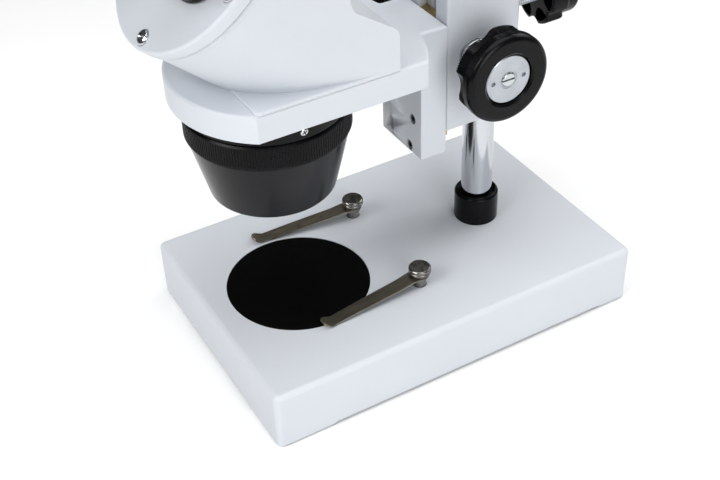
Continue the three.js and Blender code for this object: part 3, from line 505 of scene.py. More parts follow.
def around_axis_tree():
    tree, start, end = repeat_tree("set_out_around", [
        ("Count", "NodeSocketInt"), ("Radius", "NodeSocketFloat"), ("First Angle", "NodeSocketFloat"),
        ("Step Angle", "NodeSocketFloat"), ("Finish", "NodeSocketMaterial")])
    line = tree.nodes.new("GeometryNodeMeshLine")
    line.inputs["Offset"].default_value = (0, 0, 0)
    tree.links.new(start.outputs["Count"], line.inputs["Count"])
    index = tree.nodes.new("GeometryNodeInputIndex")
    angle = maths(tree, "ADD", maths(tree, "MULTIPLY", index.outputs[0], start.outputs["Step Angle"]),
                  start.outputs["First Angle"])
    turn = tree.nodes.new("ShaderNodeCombineXYZ")
    tree.links.new(angle, turn.inputs["Z"])
    copies = tree.nodes.new("GeometryNodeInstanceOnPoints")
    tree.links.new(line.outputs["Mesh"], copies.inputs["Points"])
    tree.links.new(start.outputs["Geometry"], copies.inputs["Instance"])
    tree.links.new(turn.outputs["Vector"], copies.inputs["Rotation"])
    out = tree.nodes.new("ShaderNodeCombineXYZ")
    tree.links.new(start.outputs["Radius"], out.inputs["X"])
    move = tree.nodes.new("GeometryNodeTranslateInstances")
    tree.links.new(copies.outputs["Instances"], move.inputs["Instances"])
    tree.links.new(out.outputs["Vector"], move.inputs["Translation"])
    finish_tree(tree, start, end, move.outputs["Instances"])
    return tree


def along_line_tree():
    tree, start, end = repeat_tree("set_out_along", [
        ("Count", "NodeSocketInt"), ("Spacing", "NodeSocketVector"), ("Finish", "NodeSocketMaterial")])
    line = tree.nodes.new("GeometryNodeMeshLine")
    tree.links.new(start.outputs["Count"], line.inputs["Count"])
    tree.links.new(start.outputs["Spacing"], line.inputs["Offset"])
    copies = tree.nodes.new("GeometryNodeInstanceOnPoints")
    tree.links.new(line.outputs["Mesh"], copies.inputs["Points"])
    tree.links.new(start.outputs["Geometry"], copies.inputs["Instance"])
    finish_tree(tree, start, end, copies.outputs["Instances"])
    return tree


AROUND = around_axis_tree()
ALONG = along_line_tree()


def repeat(obj, tree, **values):
    modifier = obj.modifiers.new("repeat", "NODES")
    modifier.node_group = tree
    for item in tree.interface.items_tree:
        key = item.name.replace(" ", "_").lower()
        if item.in_out == "INPUT" and key in values:
            modifier[item.identifier] = values[key]
    return settle(obj)


def move_mesh(obj, place):
    obj.data.transform(place)
    return obj


print("trees", AROUND.name, ALONG.name)

# %% [markdown]
# ## The base
# The base is one casting: a shallow rounded box, open below, that stands on its
# four corners with a low relief between them. The outline is lofted up with a
# quarter round at the top edge, then the stage recess, the post hole, the stud
# holes and the hollow are cut, as they would be on the real casting.

# %% Base casting
base_low, base_high = (Vector(v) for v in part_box("base_casting"))
BASE_CORNER, BASE_ROUND, BASE_WALL, BASE_DECK = 3 * MM, 2.4 * MM, 5 * MM, 6.5 * MM
top_z = base_high.z
post_at = middle("post")
stage_at = middle("stage_plate")
stage_low, stage_high = (Vector(v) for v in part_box("stage_plate"))
stage_radius = (stage_high.x - stage_low.x) / 2


def base_ring(inset, z):
    outline = rounded_rectangle(base_low.x + inset, base_high.x - inset, base_low.y + inset,
                                base_high.y - inset, max(BASE_CORNER - inset, 0.6 * MM))
    return [(x, y, z) for x, y in outline]


LOWER_EDGE = 0.5 * MM
rings = [base_ring(LOWER_EDGE, base_low.z), base_ring(0, base_low.z + LOWER_EDGE)]
for k in range(11):
    a = math.radians(90 * k / 10)
    height = top_z - BASE_ROUND + BASE_ROUND * math.sin(a)
    rings.append(base_ring(BASE_ROUND * (1 - math.cos(a)), height))
base = solid("base_shell", lofted(rings))
print("base is", [round(v / MM, 1) for v in base_high - base_low], "mm")

# %% [markdown]
# Inside, round bosses are left standing for the feet and the post. The relief
# between the corners, the recess for the stage plate and all the holes are cut
# from the shell together, and the edges that this leaves are eased a little.

# %% Hollow, bosses and holes
CORNER_RUN, REAR_RUN, RELIEF = 25 * MM, 15 * MM, 1.7 * MM
over = top_z + 1 * MM
under = -1 * MM
feet = ["foot_front_left", "foot_front_right", "foot_rear_left", "foot_rear_right"]
floor_ring, deck_ring = base_ring(BASE_WALL, -2 * MM), base_ring(BASE_WALL + 1 * MM, top_z - BASE_DECK)
hollow = solid("hollow", lofted([floor_ring, deck_ring]))
bosses = [solid("boss", rod(9.5 * MM, -5 * MM, top_z, at=middle(f)[:2])) for f in feet]
bosses.append(solid("boss", rod(13 * MM, -5 * MM, top_z, at=post_at[:2])))
machine(hollow, cutters=bosses)
side_gap = brick(base_low.x + CORNER_RUN, base_high.x - CORNER_RUN, -0.2, 0.2, under, RELIEF)
end_gap = brick(-0.1, 0.1, base_low.y + CORNER_RUN, base_high.y - REAR_RUN, under, RELIEF)
recess = rod(stage_radius + 0.18 * MM, top_z - 2.3 * MM, over, 128, stage_at[:2])
cutters = [
    hollow,
    solid("relief", side_gap),
    solid("relief", end_gap),
    solid("stage_recess", recess),
    solid("post_hole", rod(4.1 * MM, under, over, 48, post_at[:2])),
    solid("nut_pocket", rod(8.5 * MM, -6 * MM, 12 * MM, 48, post_at[:2])),
]
for side in ("left", "right"):
    hole = rod(2.95 * MM, top_z - 7.5 * MM, over, 32, middle(f"clip_{side}_stud")[:2])
    cutters.append(solid("stud_hole", hole))
for foot in feet:
    cutters.append(solid("foot_pocket", rod(7.1 * MM, under, 4.1 * MM, 32, middle(foot)[:2])))
machine(base, cutters=cutters)
ease_edges(base, 0.25 * MM, 2, 50)
dress(base, paint, "base", "base_casting")
print("base faces", len(base.data.polygons))

# %% [markdown]
# The feet are turned rubber pads with a shallow ring moulded into the sole. The
# stage plate is a matt black disc let in flush, with a fine turned rim.

# %% Feet and stage plate
for foot in feet:
    place = upright(middle(foot))
    _, high, r = reach(foot, place)
    pad = [(0, 0.6 * MM), (2 * MM, 0.6 * MM), (2.4 * MM, 0), (r - 0.8 * MM, 0),
           (r, 0.7 * MM), (r, high), (0, high)]
    dress(solid(f"pad_{foot}", turned(soften(pad, 0.3 * MM), 64), place), rubber, "base", foot)

place = Matrix.Translation((stage_at.x, stage_at.y, top_z))
r = stage_radius
disc = [(0, -2.2 * MM), (r, -2.2 * MM), (r, -0.25 * MM), (r - 0.25 * MM, 0), (r - 1.1 * MM, 0),
        (r - 1.25 * MM, -0.12 * MM), (r - 1.4 * MM, 0), (r * 0.7, 0), (r * 0.35, 0), (0, 0)]
dress(solid("stage_disc", turned(disc, 160), place), stage_black, "base", "stage_plate")
print("stage plate radius mm", round(r / MM, 1))

# %% [markdown]
# ## Post and collar
# The post is ground and chromed bar with a small chamfer at its top. A black
# collar with a counterbored mouth hides where it enters the base. The nut under
# the base keeps its engineering shape and only gets a finish.

# %% Post, collar and nut
post_axis = upright(post_at)
low, high, post_r = reach("post", post_axis)
SHANK_R, CHAMFER, MOUTH_DEEP = 4 * MM, 1.2 * MM, 1.4 * MM
bar = [(0, low), (SHANK_R, low), (SHANK_R, top_z), (post_r, top_z),
       (post_r, high - CHAMFER), (post_r - CHAMFER, high), (0, high)]
bar = turned(soften(bar, 0.25 * MM), 128)
dress(solid("post_bar", bar, post_axis), chrome, "base", "post")
low, high, r = reach("post_collar", post_axis)
bore, mouth = post_r + 0.1 * MM, post_r + 1.3 * MM
collar = [(bore, low), (r, low), (r, high - 0.9 * MM), (r - 0.9 * MM, high), (mouth, high),
          (mouth, high - MOUTH_DEEP), (bore, high - MOUTH_DEEP)]
collar = soften(collar, 0.35 * MM, closed=True)
dress(solid("collar_ring", turned(looped(collar), 128), post_axis), moulded, "base", "post_collar")


def repaint(node, finish):
    obj = frame["nodes"][node]
    obj.data.materials.clear()
    obj.data.materials.append(finish)


repaint("post_nut", nickel)
print("post radius mm", round(post_r / MM, 2), "collar radius mm", round(r / MM, 2))

# %% [markdown]
# ## Stage clips
# Each clip is a bent strip of spring steel held by a mushroom-headed stud. The
# strip drops from the stud, runs straight down to the stage, bears just short of
# its end and curls up so that a slide can ride under it. The strip is a row of
# cross sections along a softened path; the angle it stands at comes from the
# engineering model.

# %% Clip strip
def clip_strip(path, half_width, thickness):
    points = soften(path, 1.6 * MM, 5)
    rings = []
    for i, p in enumerate(points):
        a, b = points[max(i - 1, 0)], points[min(i + 1, len(points) - 1)]
        along = (b - a).normalized()
        normal = Vector((-along[1], along[0]))
        if normal[1] < 0:
            normal = -normal
        w = half_width(p[0])
        e = min(0.1 * MM, w * 0.4)
        lower, upper = p, p + normal * thickness
        rings.append([(-w + e, lower[0], lower[1]), (w - e, lower[0], lower[1]),
                      (w, *(lower + normal * e)), (w, *(upper - normal * e)),
                      (w - e, upper[0], upper[1]), (-w + e, upper[0], upper[1]),
                      (-w, *(upper - normal * e)), (-w, *(lower + normal * e))])
    return lofted(rings)


EYE_R, WAIST_AT, FLARE_AT, TIP_AT = 3.9, 5, 42, 45
STRIP_T = 0.7 * MM
STRIP_PATH = [(3.9, 4.5), (3.4, 4.5), (2.4, 4.5), (1, 4.5), (-1, 4.5), (-3, 4.5), (-5.2, 4.5), (-9.5, 3.6),
              (-20, 2.65), (-31, 1.55), (-41.5, 0.35), (-43, 0.35), (-45.2, 1.0), (-46.6, 1.7), (-47.5, 2.2)]


def strip_half_width(y):
    """Round at the stud, tapering along its length, flared at the tip."""
    s = -y / MM
    if s < 0:
        return max(math.sqrt(max(EYE_R ** 2 - s * s, 0)), 0.4) * MM
    if s < WAIST_AT:
        return EYE_R * MM - (s / WAIST_AT) * 0.5 * MM
    if s < FLARE_AT:
        return (3.4 - 0.6 * (s - WAIST_AT) / (FLARE_AT - WAIST_AT)) * MM
    if s < TIP_AT:
        return (2.8 + 0.55 * (s - FLARE_AT) / (TIP_AT - FLARE_AT)) * MM
    return max(3.35 * math.sqrt(max(1 - ((s - TIP_AT) / 2.7) ** 2, 0)), 1.3) * MM


print("strip is", max(x for x, z in STRIP_PATH) - min(x for x, z in STRIP_PATH), "mm long")

# %% [markdown]
# The stud is turned: a plain stem, a shoulder that traps the strip, and a head
# with a fine groove round its edge. The direction of each strip is measured from
# the far end of its engineering blade.

# %% Clips in place
STUD = [(0, -6.4), (2.75, -6.4), (2.75, 3.3), (3.4, 3.4), (3.4, 4.45), (2.9, 4.5), (2.9, 5.25), (3.7, 5.3),
        (3.8, 6.0), (4.25, 6.15), (4.7, 6.6), (4.7, 7.3), (4.5, 7.45), (4.5, 7.6), (4.7, 7.75), (4.7, 8.75),
        (4.2, 9.25), (1.5, 9.3), (0, 9.3)]
FAR_END = 42 * MM
for side in ("left", "right"):
    stud_at = middle(f"clip_{side}_stud")
    blade = frame["nodes"][f"clip_{side}_blade"].data.vertices
    far = [v.co for v in blade if (v.co - stud_at).length > FAR_END]
    mean = sum((Vector((v.x, v.y, 0)) for v in far), Vector()) / len(far)
    toward = mean - Vector((stud_at.x, stud_at.y, 0))
    swing = math.atan2(toward.x, -toward.y)
    place = Matrix.Translation((stud_at.x, stud_at.y, top_z)) @ Matrix.Rotation(swing, 4, "Z")
    strip = solid(f"clip_{side}_strip", clip_strip(mm(STRIP_PATH), strip_half_width, STRIP_T), place)
    dress(strip, spring, f"clip_{side}", f"clip_{side}_blade", sharp=28)
    stud = solid(f"clip_{side}_pin", turned(soften(mm(STUD), 0.2 * MM, 3), 72), place)
    dress(stud, nickel, f"clip_{side}", f"clip_{side}_stud")
    print("clip", side, "stands at", round(math.degrees(swing), 1))

# %% [markdown]
# ## Cast shapes with rounded edges
# The arm, the focus block, the head foot and the eye housings are all slabs whose
# outline is drawn in plan. `pillow` lofts such an outline and rolls its lower and
# upper edges over, by drawing the outline in along its own corners.

# %% Pillow builder
def drawn_in(outline, distance):
    out = []
    n = len(outline)
    for i in range(n):
        p0, p1, p2 = (Vector(outline[j][:2]) for j in (i - 1, i, (i + 1) % n))
        e0, e1 = (p1 - p0).normalized(), (p2 - p1).normalized()
        n0, n1 = Vector((e0.y, -e0.x)), Vector((e1.y, -e1.x))
        out.append(p1 - (n0 + n1) * (distance / max(1 + n0.dot(n1), 0.3)))
    return out


def pillow(outline, z0, z1, low, high, steps=6):
    rings = []
    for k in range(steps + 1):
        a = math.radians(90 * k / steps)
        rings.append((low * (1 - math.sin(a)), z0 + low * (1 - math.cos(a))))
    for k in range(steps + 1):
        a = math.radians(90 * k / steps)
        rings.append((high * (1 - math.cos(a)), z1 - high + high * math.sin(a)))
    return lofted([[(p.x, p.y, z) for p in drawn_in(outline, d)] for d, z in rings])


def common(obj, other):
    m = obj.modifiers.new("common", "BOOLEAN")
    m.operation, m.solver, m.object = "INTERSECT", "EXACT", other
    settle(obj)
    bpy.data.objects.remove(other)
    return obj


X, Y, Z = Vector((1, 0, 0)), Vector((0, 1, 0)), Vector((0, 0, 1))


def along_x(point):
    return axes_at(point, X, Y)


def along_y(point):
    return axes_at(point, Y, Z)


square = [Vector(p) for p in ((0, 0), (1, 0), (1, 1), (0, 1))]
print("a pillow on a square has", len(pillow(square, 0, 1, 0.1, 0.1)[1]), "faces")

# %% [markdown]
# ## The focus block
# The white block rides on a plain sleeve around the post. Its back is a half
# round about the post and its front has a dovetail channel with a rack groove
# behind it. A cross hole carries the pinion, and a threaded hole the clamp.

# %% Focus block
block_low, block_high = (Vector(v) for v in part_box("focus_block"))
slide_low, slide_high = (Vector(v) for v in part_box("dovetail_slide"))
pinion_at = middle("pinion_shaft")
clamp_at = middle("clamp_screw")
half = block_high.x
plan = [Vector((-half, post_at.y)), Vector((-half, block_low.y)),
        Vector((half, block_low.y)), Vector((half, post_at.y))]
outline = soften(plan, 1.3 * MM, 6)
outline += [Vector((half * math.cos(a), post_at.y + half * math.sin(a)))
            for a in (math.pi * k / 48 for k in range(1, 48))]
GAP, SLIDE_HALF = 0.2 * MM, 6 * MM
front, back = slide_low.y - 3 * MM, slide_high.y + GAP
narrow, wide = SLIDE_HALF + GAP, slide_high.x + GAP
channel = [(wide, back), (-wide, back), (-narrow, slide_low.y), (-narrow, front), (narrow, front),
           (narrow, slide_low.y)]
sleeve_low, sleeve_high, sleeve_r = reach("post_sleeve", post_axis)
high_z, low_z = block_high.z + 2 * MM, block_low.z - 2 * MM
cross = along_x((0, pinion_at.y, pinion_at.z))
SEAT_R, SEAT_DEEP, FAR = 5.2 * MM, 5 * MM, 0.05
groove = brick(-3.2 * MM, 3.2 * MM, slide_high.y - 1 * MM, pinion_at.y - 2.6 * MM, low_z, high_z)
block = solid("block_casting", pillow(outline, block_low.z, block_high.z, 0.7 * MM, 0.9 * MM))
machine(block, cutters=[
    solid("bore", rod(sleeve_r + 0.1 * MM, low_z, high_z, 96, post_at[:2])),
    solid("channel", slab(channel, low_z, high_z)),
    solid("rack_groove", groove),
    solid("gear_room", rod(5.4 * MM, -3.6 * MM, 3.6 * MM, 48), cross),
    solid("cross_hole", rod(3.1 * MM, -FAR, FAR, 48), cross),
    solid("bush_seat", rod(SEAT_R, half - SEAT_DEEP, FAR, 48), cross),
    solid("bush_seat", rod(SEAT_R, -FAR, SEAT_DEEP - half, 48), cross),
    solid("clamp_hole", rod(3.2 * MM, 0, 0.03, 48), along_y((0, post_at.y, clamp_at.z))),
])
ease_edges(block, 0.3 * MM, 2, 60)
dress(block, paint, "focus_block", "focus_block")
print("block faces", len(block.data.polygons))

# %% [markdown]
# The sleeve is a plain turned tube that slides on the post. It barely shows above
# and below the block, but it carries the block when the head is turned.

# %% Sleeve
bore = post_r + 0.1 * MM
lining = [(bore, sleeve_low), (sleeve_r, sleeve_low), (sleeve_r, sleeve_high), (bore, sleeve_high)]
lining = soften(lining, 0.15 * MM, 2, closed=True)
dress(solid("sleeve_lining", turned(looped(lining), 96), post_axis), satin_metal, "sleeve", "post_sleeve")
print("sleeve bore mm", round(bore / MM, 2))

# %% [markdown]
# The bushes that carry the pinion stand proud of the block and show as a bright
# ring with a dark groove. Both ends of a cross shaft are alike, so each side is
# built by the same loop, turned to face outward.

# %% Bushes
SHAFT_HOLE = 3.1
face = half / MM
for side, way in (("left", -1), ("right", 1)):
    place = axes_at((0, pinion_at.y, pinion_at.z), X * way, Y)
    low, tail, rim = reach_mm(f"pinion_bush_{side}", place)
    ring = [(SHAFT_HOLE, low), (rim - 2.1, low), (rim - 2.1, face), (rim, face), (rim, face + 0.7),
            (rim - 0.8, face + 0.9), (rim - 0.8, face + 1.4), (rim, face + 1.6), (rim, face + 2.3),
            (rim - 0.3, face + 2.6), (rim - 1.6, face + 2.6), (rim - 1.6, face + 4.4),
            (rim - 2.3, face + 4.6), (rim - 2.3, face + 5.4), (rim - 1.6, face + 5.6),
            (rim - 1.6, tail - 0.4), (rim - 2.0, tail), (4.2, tail), (3.9, tail - 0.4), (SHAFT_HOLE, tail - 0.4)]
    ring = turned(looped(soften(mm(ring), 0.15 * MM, 3, closed=True)), 96)
    dress(solid(f"bush_{side}", ring, place), chrome, "focus_block", f"pinion_bush_{side}")
    print("bush", side, "stands out mm", round(tail - face, 1))

# %% [markdown]
# ## Pinion and focus knobs
# A knob is one moulding: a smooth flange with a big rounded edge, and a narrower
# grip behind it with five smooth finger hollows. It is turned about Z first and
# the hollows are milled out of it by upright round cutters.

# %% Knob moulding
PATCHES, HOLLOW_R, HOLLOW_DEEP = 5, 12, 2.8
FLANGE, FLANGE_ROUND = 5, 2.6
KNOB_BORE, WELL_IN, WELL_OUT, WELL_DEEP = 3.05, 8.4, 14, 3
HOLLOW_AT = {"left": 79, "right": 115}


def knob_moulding(side, x0, x1, r, grip, cap_low, cap_r):
    flange = x1 - FLANGE
    profile = [(KNOB_BORE, x0), (WELL_IN, x0), (WELL_IN, x0 + WELL_DEEP), (WELL_OUT, x0 + WELL_DEEP),
               (WELL_OUT, x0), (grip - 0.8, x0), (grip - 0.25, x0 + 0.6), (grip - 0.25, flange - 0.7),
               (r, flange)]
    profile += quarter_round(FLANGE_ROUND, r, x1)
    profile += [(cap_r + 1.3, x1), (cap_r + 0.5, x1 - 0.75), (cap_r + 0.4, cap_low), (KNOB_BORE, cap_low)]
    knob = solid(f"knob_{side}", turned(mm(looped(profile)), 144))
    away = (grip + HOLLOW_R - HOLLOW_DEEP) * MM
    cutters = []
    for k in range(PATCHES):
        a = math.radians(HOLLOW_AT[side] + 360 * k / PATCHES)
        hollow = [(0, x0 - 1), (HOLLOW_R, x0 - 1), (HOLLOW_R, flange - 1.9),
                  (HOLLOW_R - 0.7, flange - 1.2), (0, flange - 1.2)]
        cutter = solid("hollow", turned(mm(hollow), 96))
        cutters.append(move_mesh(cutter, Matrix.Translation((away * math.cos(a), away * math.sin(a), 0))))
    return machine(knob, cutters=cutters)


print("hollows", PATCHES, "each", HOLLOW_DEEP, "mm deep")

# %% [markdown]
# Between the hollows the grip is knurled with short straight ribs. One rib is
# lofted, and the Geometry Nodes tree sets out a patch of them midway between
# each pair of hollows.

# %% Knob ribs
RIBS_PER_PATCH, RIB_STEP = 10, math.radians(3.2)
RIB = [(-0.30, -0.30), (0.30, -0.30), (0.33, 0.0), (0.12, 0.42), (-0.12, 0.42), (-0.33, 0.0)]


def knob_ribs(side, place, x0, flange, grip):
    rows = ((0.7, x0 + 0.5), (1, x0 + 1.0), (1, flange - 1.1), (0.7, flange - 0.7))
    for patch in range(PATCHES):
        shape = lofted([[((grip - 0.25 + h) * MM, w * MM * s, z * MM) for w, h in RIB] for s, z in rows])
        ribs = solid(f"knurl_{side}_{patch + 1}", shape)
        centre = math.radians(HOLLOW_AT[side] + (patch + 0.5) * 360 / PATCHES)
        first = centre - RIB_STEP * (RIBS_PER_PATCH - 1) / 2
        repeat(ribs, AROUND, count=RIBS_PER_PATCH, radius=0.0, first_angle=first, step_angle=RIB_STEP,
               finish=moulded)
        dress(move_mesh(ribs, place), moulded, "pinion")


print("ribs on a knob", PATCHES * RIBS_PER_PATCH)

# %% [markdown]
# A turned metal cap with two pin holes closes the knob's face. The right and the
# left knob are then made alike, each turned to face outward.

# %% Knob caps, and both knobs in place
PIN_HOLE_R, PIN_HOLE_OUT = 0.95 * MM, 6.9 * MM


def knob_cap(side, place, low, high, r):
    holes = [solid("pin_hole", rod(PIN_HOLE_R, (high - 1) * MM, (high + 1) * MM, 32, (PIN_HOLE_OUT * s, 0)))
             for s in (-1, 1)]
    cap = [(3.1, low), (r - 0.1, low), (r, low + 0.2), (r, high - 0.25), (r - 0.3, high),
           (3.75, high), (3.6, high - 0.25), (3.1, high - 0.25)]
    disc = machine(solid(f"cap_{side}", turned(mm(looped(cap)), 128)), cutters=holes)
    dress(move_mesh(disc, place), satin_metal, "pinion", f"knob_cap_{side}")


for side, way in (("left", -1), ("right", 1)):
    place = axes_at((0, pinion_at.y, pinion_at.z), X * way, Y * way)
    x0, x1, r = reach_mm(f"focus_knob_{side}", place)
    cap_low, cap_high, cap_r = reach_mm(f"knob_cap_{side}", place)
    grip = r - 0.6
    knob = knob_moulding(side, x0, x1, r, grip, cap_low, cap_r)
    dress(move_mesh(knob, place), moulded, "pinion", f"focus_knob_{side}")
    knob_ribs(side, place, x0, x1 - FLANGE, grip)
    knob_cap(side, place, cap_low, cap_high, cap_r)
    print("knob", side, "diameter mm", round(2 * r, 1))

# %% [markdown]
# The shaft is slotted at both ends for a screwdriver, and carries the pinion
# gear in the middle. The gear and the rack share one pitch, ten teeth on an
# eight millimetre pitch circle, so that they roll together.

# %% Pinion shaft
TEETH, PITCH_R, SHAFT_R = 10, 4.0, 3.0
low, high, _ = reach_mm("pinion_shaft", cross)
bar = [(0, low), (SHAFT_R - 0.4, low), (SHAFT_R, low + 0.4), (SHAFT_R, high - 0.4), (SHAFT_R - 0.4, high), (0, high)]
shaft = solid("shaft", turned(soften(mm(bar), 0.15 * MM), 64), cross)
slots = [solid("slot", brick(-4 * MM, 4 * MM, -0.4 * MM, 0.4 * MM, z0 * MM, z1 * MM), cross)
         for z0, z1 in ((low - 1, low + 0.8), (high - 0.8, high + 1))]
machine(shaft, cutters=slots)
dress(shaft, chrome, "pinion", "pinion_shaft")
TOOTH = [(2.6, 0.9), (3.1, 0.72), (4.0, 0.52), (4.55, 0.26), (4.55, -0.26), (4.0, -0.52), (3.1, -0.72), (2.6, -0.9)]
gear = solid("gear", lofted([[(x * MM, -y * MM, z * MM) for x, y in TOOTH] for z in (-2.9, 2.9)]))
repeat(gear, AROUND, count=TEETH, radius=0.0, first_angle=0.0, step_angle=2 * math.pi / TEETH, finish=nickel)
dress(move_mesh(gear, cross), nickel, "pinion")
print("shaft length mm", round(high - low, 1), "teeth", TEETH)

# %% [markdown]
# ## Clamp
# A long screw with a real thread, a lobed head with deep hollow pockets between
# its ribs, and a plain round hub on the end. The thread is a turned bar whose
# radius follows the angle around it as well as the height.

# %% Clamp screw and knob
def threaded(radius, depth, pitch, z0, z1, around=32, per_turn=12):
    rows = int((z1 - z0) / pitch * per_turn) + 1
    rings = []
    for k in range(rows):
        z = z0 + (z1 - z0) * k / (rows - 1)
        fade = min(1, (z - z0) / pitch, (z1 - z) / pitch)
        ring = []
        for i in range(around):
            a = 2 * math.pi * i / around
            phase = (z / pitch - i / around) % 1
            cut = depth * fade * (1 - abs(2 * phase - 1)) ** 0.9
            ring.append(((radius - cut) * math.cos(a), (radius - cut) * math.sin(a), z))
        rings.append(ring)
    return lofted(rings)


place = along_y((0, post_at.y, clamp_at.z))
low, high, r = reach("clamp_screw", place)
screw = solid("clamp_thread", threaded(r, 0.42 * MM, 0.9 * MM, low, high))
dress(move_mesh(screw, place), chrome, "clamp", "clamp_screw", sharp=60)
print("clamp screw length mm", round((high - low) / MM, 1))

# %% [markdown]
# The lobed head is lofted from rings whose radius dips six times on the way
# round. The pockets are cut from the side that faces the block.

# %% Clamp knob
k0, k1, kr = reach_mm("clamp_knob", place)
LOBES, LOBED_LENGTH, LOBE_DIP, HUB_R = 6, 8.5, 2.2, 11
deck = k0 + LOBED_LENGTH


def lobed_ring(inset, z, count=144):
    ring = []
    for i in range(count):
        a = 2 * math.pi * i / count
        out = kr - LOBE_DIP * max(0.0, math.cos(LOBES * a)) ** 0.8 - inset
        ring.append((out * math.cos(a) * MM, out * math.sin(a) * MM, z * MM))
    return ring


rows = [(1.0, k0), (0.5, k0 + 0.15), (0.15, k0 + 0.5), (0, k0 + 1.0),
        (0, deck - 1.6), (0.2, deck - 0.9), (0.7, deck - 0.3), (1.5, deck)]
head = solid("lobed_head", lofted([lobed_ring(i, z) for i, z in rows]))
hub = [(0, deck - 1), (HUB_R, deck - 1), (HUB_R, k1 - 1.4), (HUB_R - 0.3, k1 - 0.7),
       (HUB_R - 0.8, k1 - 0.25), (HUB_R - 1.6, k1), (0, k1)]
hub = solid("hub", turned(mm(soften(hub, 0.4, 3)), 96))
POCKET, POCKET_DEEP = [(7.2, -2.3), (10.4, -4.3), (11.9, 0), (10.4, 4.3), (7.2, 2.3), (5.6, 0)], 6
pockets = []
for k in range(LOBES):
    a = math.pi / LOBES + 2 * math.pi * k / LOBES
    c, d = math.cos(a), math.sin(a)
    plan = soften([Vector((x * c - y * d, x * d + y * c)) * MM for x, y in POCKET], 1.4 * MM, 4, closed=True)
    pockets.append(solid("pocket", slab(plan, (k0 - 1) * MM, (k0 + POCKET_DEEP) * MM)))
mouth = solid("mouth", rod(r + 0.05 * MM, (k0 - 1) * MM, (k0 + 3.05) * MM, 48))
machine(head, joins=[hub], cutters=pockets + [mouth])
ease_edges(head, 0.25 * MM, 2, 50)
dress(move_mesh(head, place), moulded, "clamp", "clamp_knob")
print("clamp knob radius mm", round(kr, 1))

# %% [markdown]
# ## The arm
# One casting again: a thick plate under the head, with a round nose that follows
# the turret, and a bracket hanging from its back that is screwed to the slide.

# %% Arm outline
arm_low, arm_high = (Vector(v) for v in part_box("arm_casting"))
turret_at = middle("turret_spindle")
ARM_T, NECK, NOSE_R = 11 * MM, 15 * MM, 41.6 * MM
BRACKET_DEEP, SHOULDER_DEEP = 11.8 * MM, 8.2 * MM
plate_z = arm_high.z - ARM_T
arm_half = arm_high.x
nose_y = arm_low.y + NOSE_R
bracket_y0, bracket_y1 = slide_low.y - BRACKET_DEEP, slide_low.y
back_y = bracket_y0 - SHOULDER_DEEP
start = math.acos(arm_half / NOSE_R)
nose = []
for k in range(65):
    a = math.pi + start + (math.pi - 2 * start) * k / 64
    nose.append(Vector((NOSE_R * math.cos(a), nose_y + NOSE_R * math.sin(a))))
corner, neck = Vector((arm_half, back_y)), Vector((NECK, bracket_y0))
pull = Vector((NECK + 9 * MM, bracket_y0 - 1.6 * MM))
shoulder = [corner * (1 - t) ** 2 + pull * 2 * t * (1 - t) + neck * t ** 2 for t in (k / 14 for k in range(1, 14))]
side_run = [Vector((arm_half, back_y - 12 * MM)), corner] + shoulder + [neck, Vector((NECK, bracket_y1))]
side_run = soften(side_run, 1.2 * MM, 4)
outline = nose + side_run + [Vector((-p.x, p.y)) for p in reversed(side_run)]
print("arm outline points", len(outline))

# %% [markdown]
# The bracket is joined on a hair inside the plate's outline, because two faces
# in exactly the same plane don't join cleanly.

# %% Arm casting
SHY = 0.01 * MM
arm = solid("arm_plate", pillow(outline, plate_z, arm_high.z, 0.4 * MM, 1.3 * MM))
x, y = NECK - SHY, bracket_y1 - SHY
plan = [Vector((-x, bracket_y0)), Vector((x, bracket_y0)), Vector((x, y)), Vector((-x, y))]
plan = soften(plan, 0.6 * MM, 4, closed=True)
hanger = solid("hanger", pillow(plan, arm_low.z, plate_z + 4 * MM, 0.8 * MM, 0.1 * MM))
holes = [solid("spindle_hole", rod(5.1 * MM, plate_z - 1 * MM, plate_z + 7 * MM, 64, turret_at[:2]))]
screws = [f"bracket_screw_{row}_{side}" for row in ("low", "high") for side in ("left", "right")]
for name in screws:
    at = middle(name)
    hole = rod(2.25 * MM, -1 * MM, 2.6 * MM, 32)
    holes.append(solid("screw_hole", hole, along_y((at.x, bracket_y0, at.z))))
machine(arm, joins=[hanger], cutters=holes)
dress(arm, paint, "head", "arm_casting")
print("arm faces", len(arm.data.polygons))

# %% [markdown]
# The bracket screws are socket screws sunk just below the face: a blackened
# cylinder with a hexagonal hole.

# %% Bracket screws
for name in screws:
    at = middle(name)
    place = along_y((at.x, 0, at.z))
    low, high, r = reach(name, place)
    pin = [(0, low), (r - 0.35 * MM, low), (r, low + 0.35 * MM), (r, high), (0, high)]
    pin = solid(name + "_pin", turned(pin, 48), place)
    socket = solid("socket", rod(1.15 * MM, low - 1 * MM, low + 1.3 * MM, 6), place)
    machine(pin, cutters=[socket])
    dress(pin, blackened, "head", name)
print("bracket screws", len(screws))

# %% [markdown]
# ## Slide and rack
# The dovetail slide is screwed to the bracket and runs in the block's channel.
# Its rack is cut teeth on a thin back; the teeth are one tooth repeated along a
# straight line by the second Geometry Nodes tree.

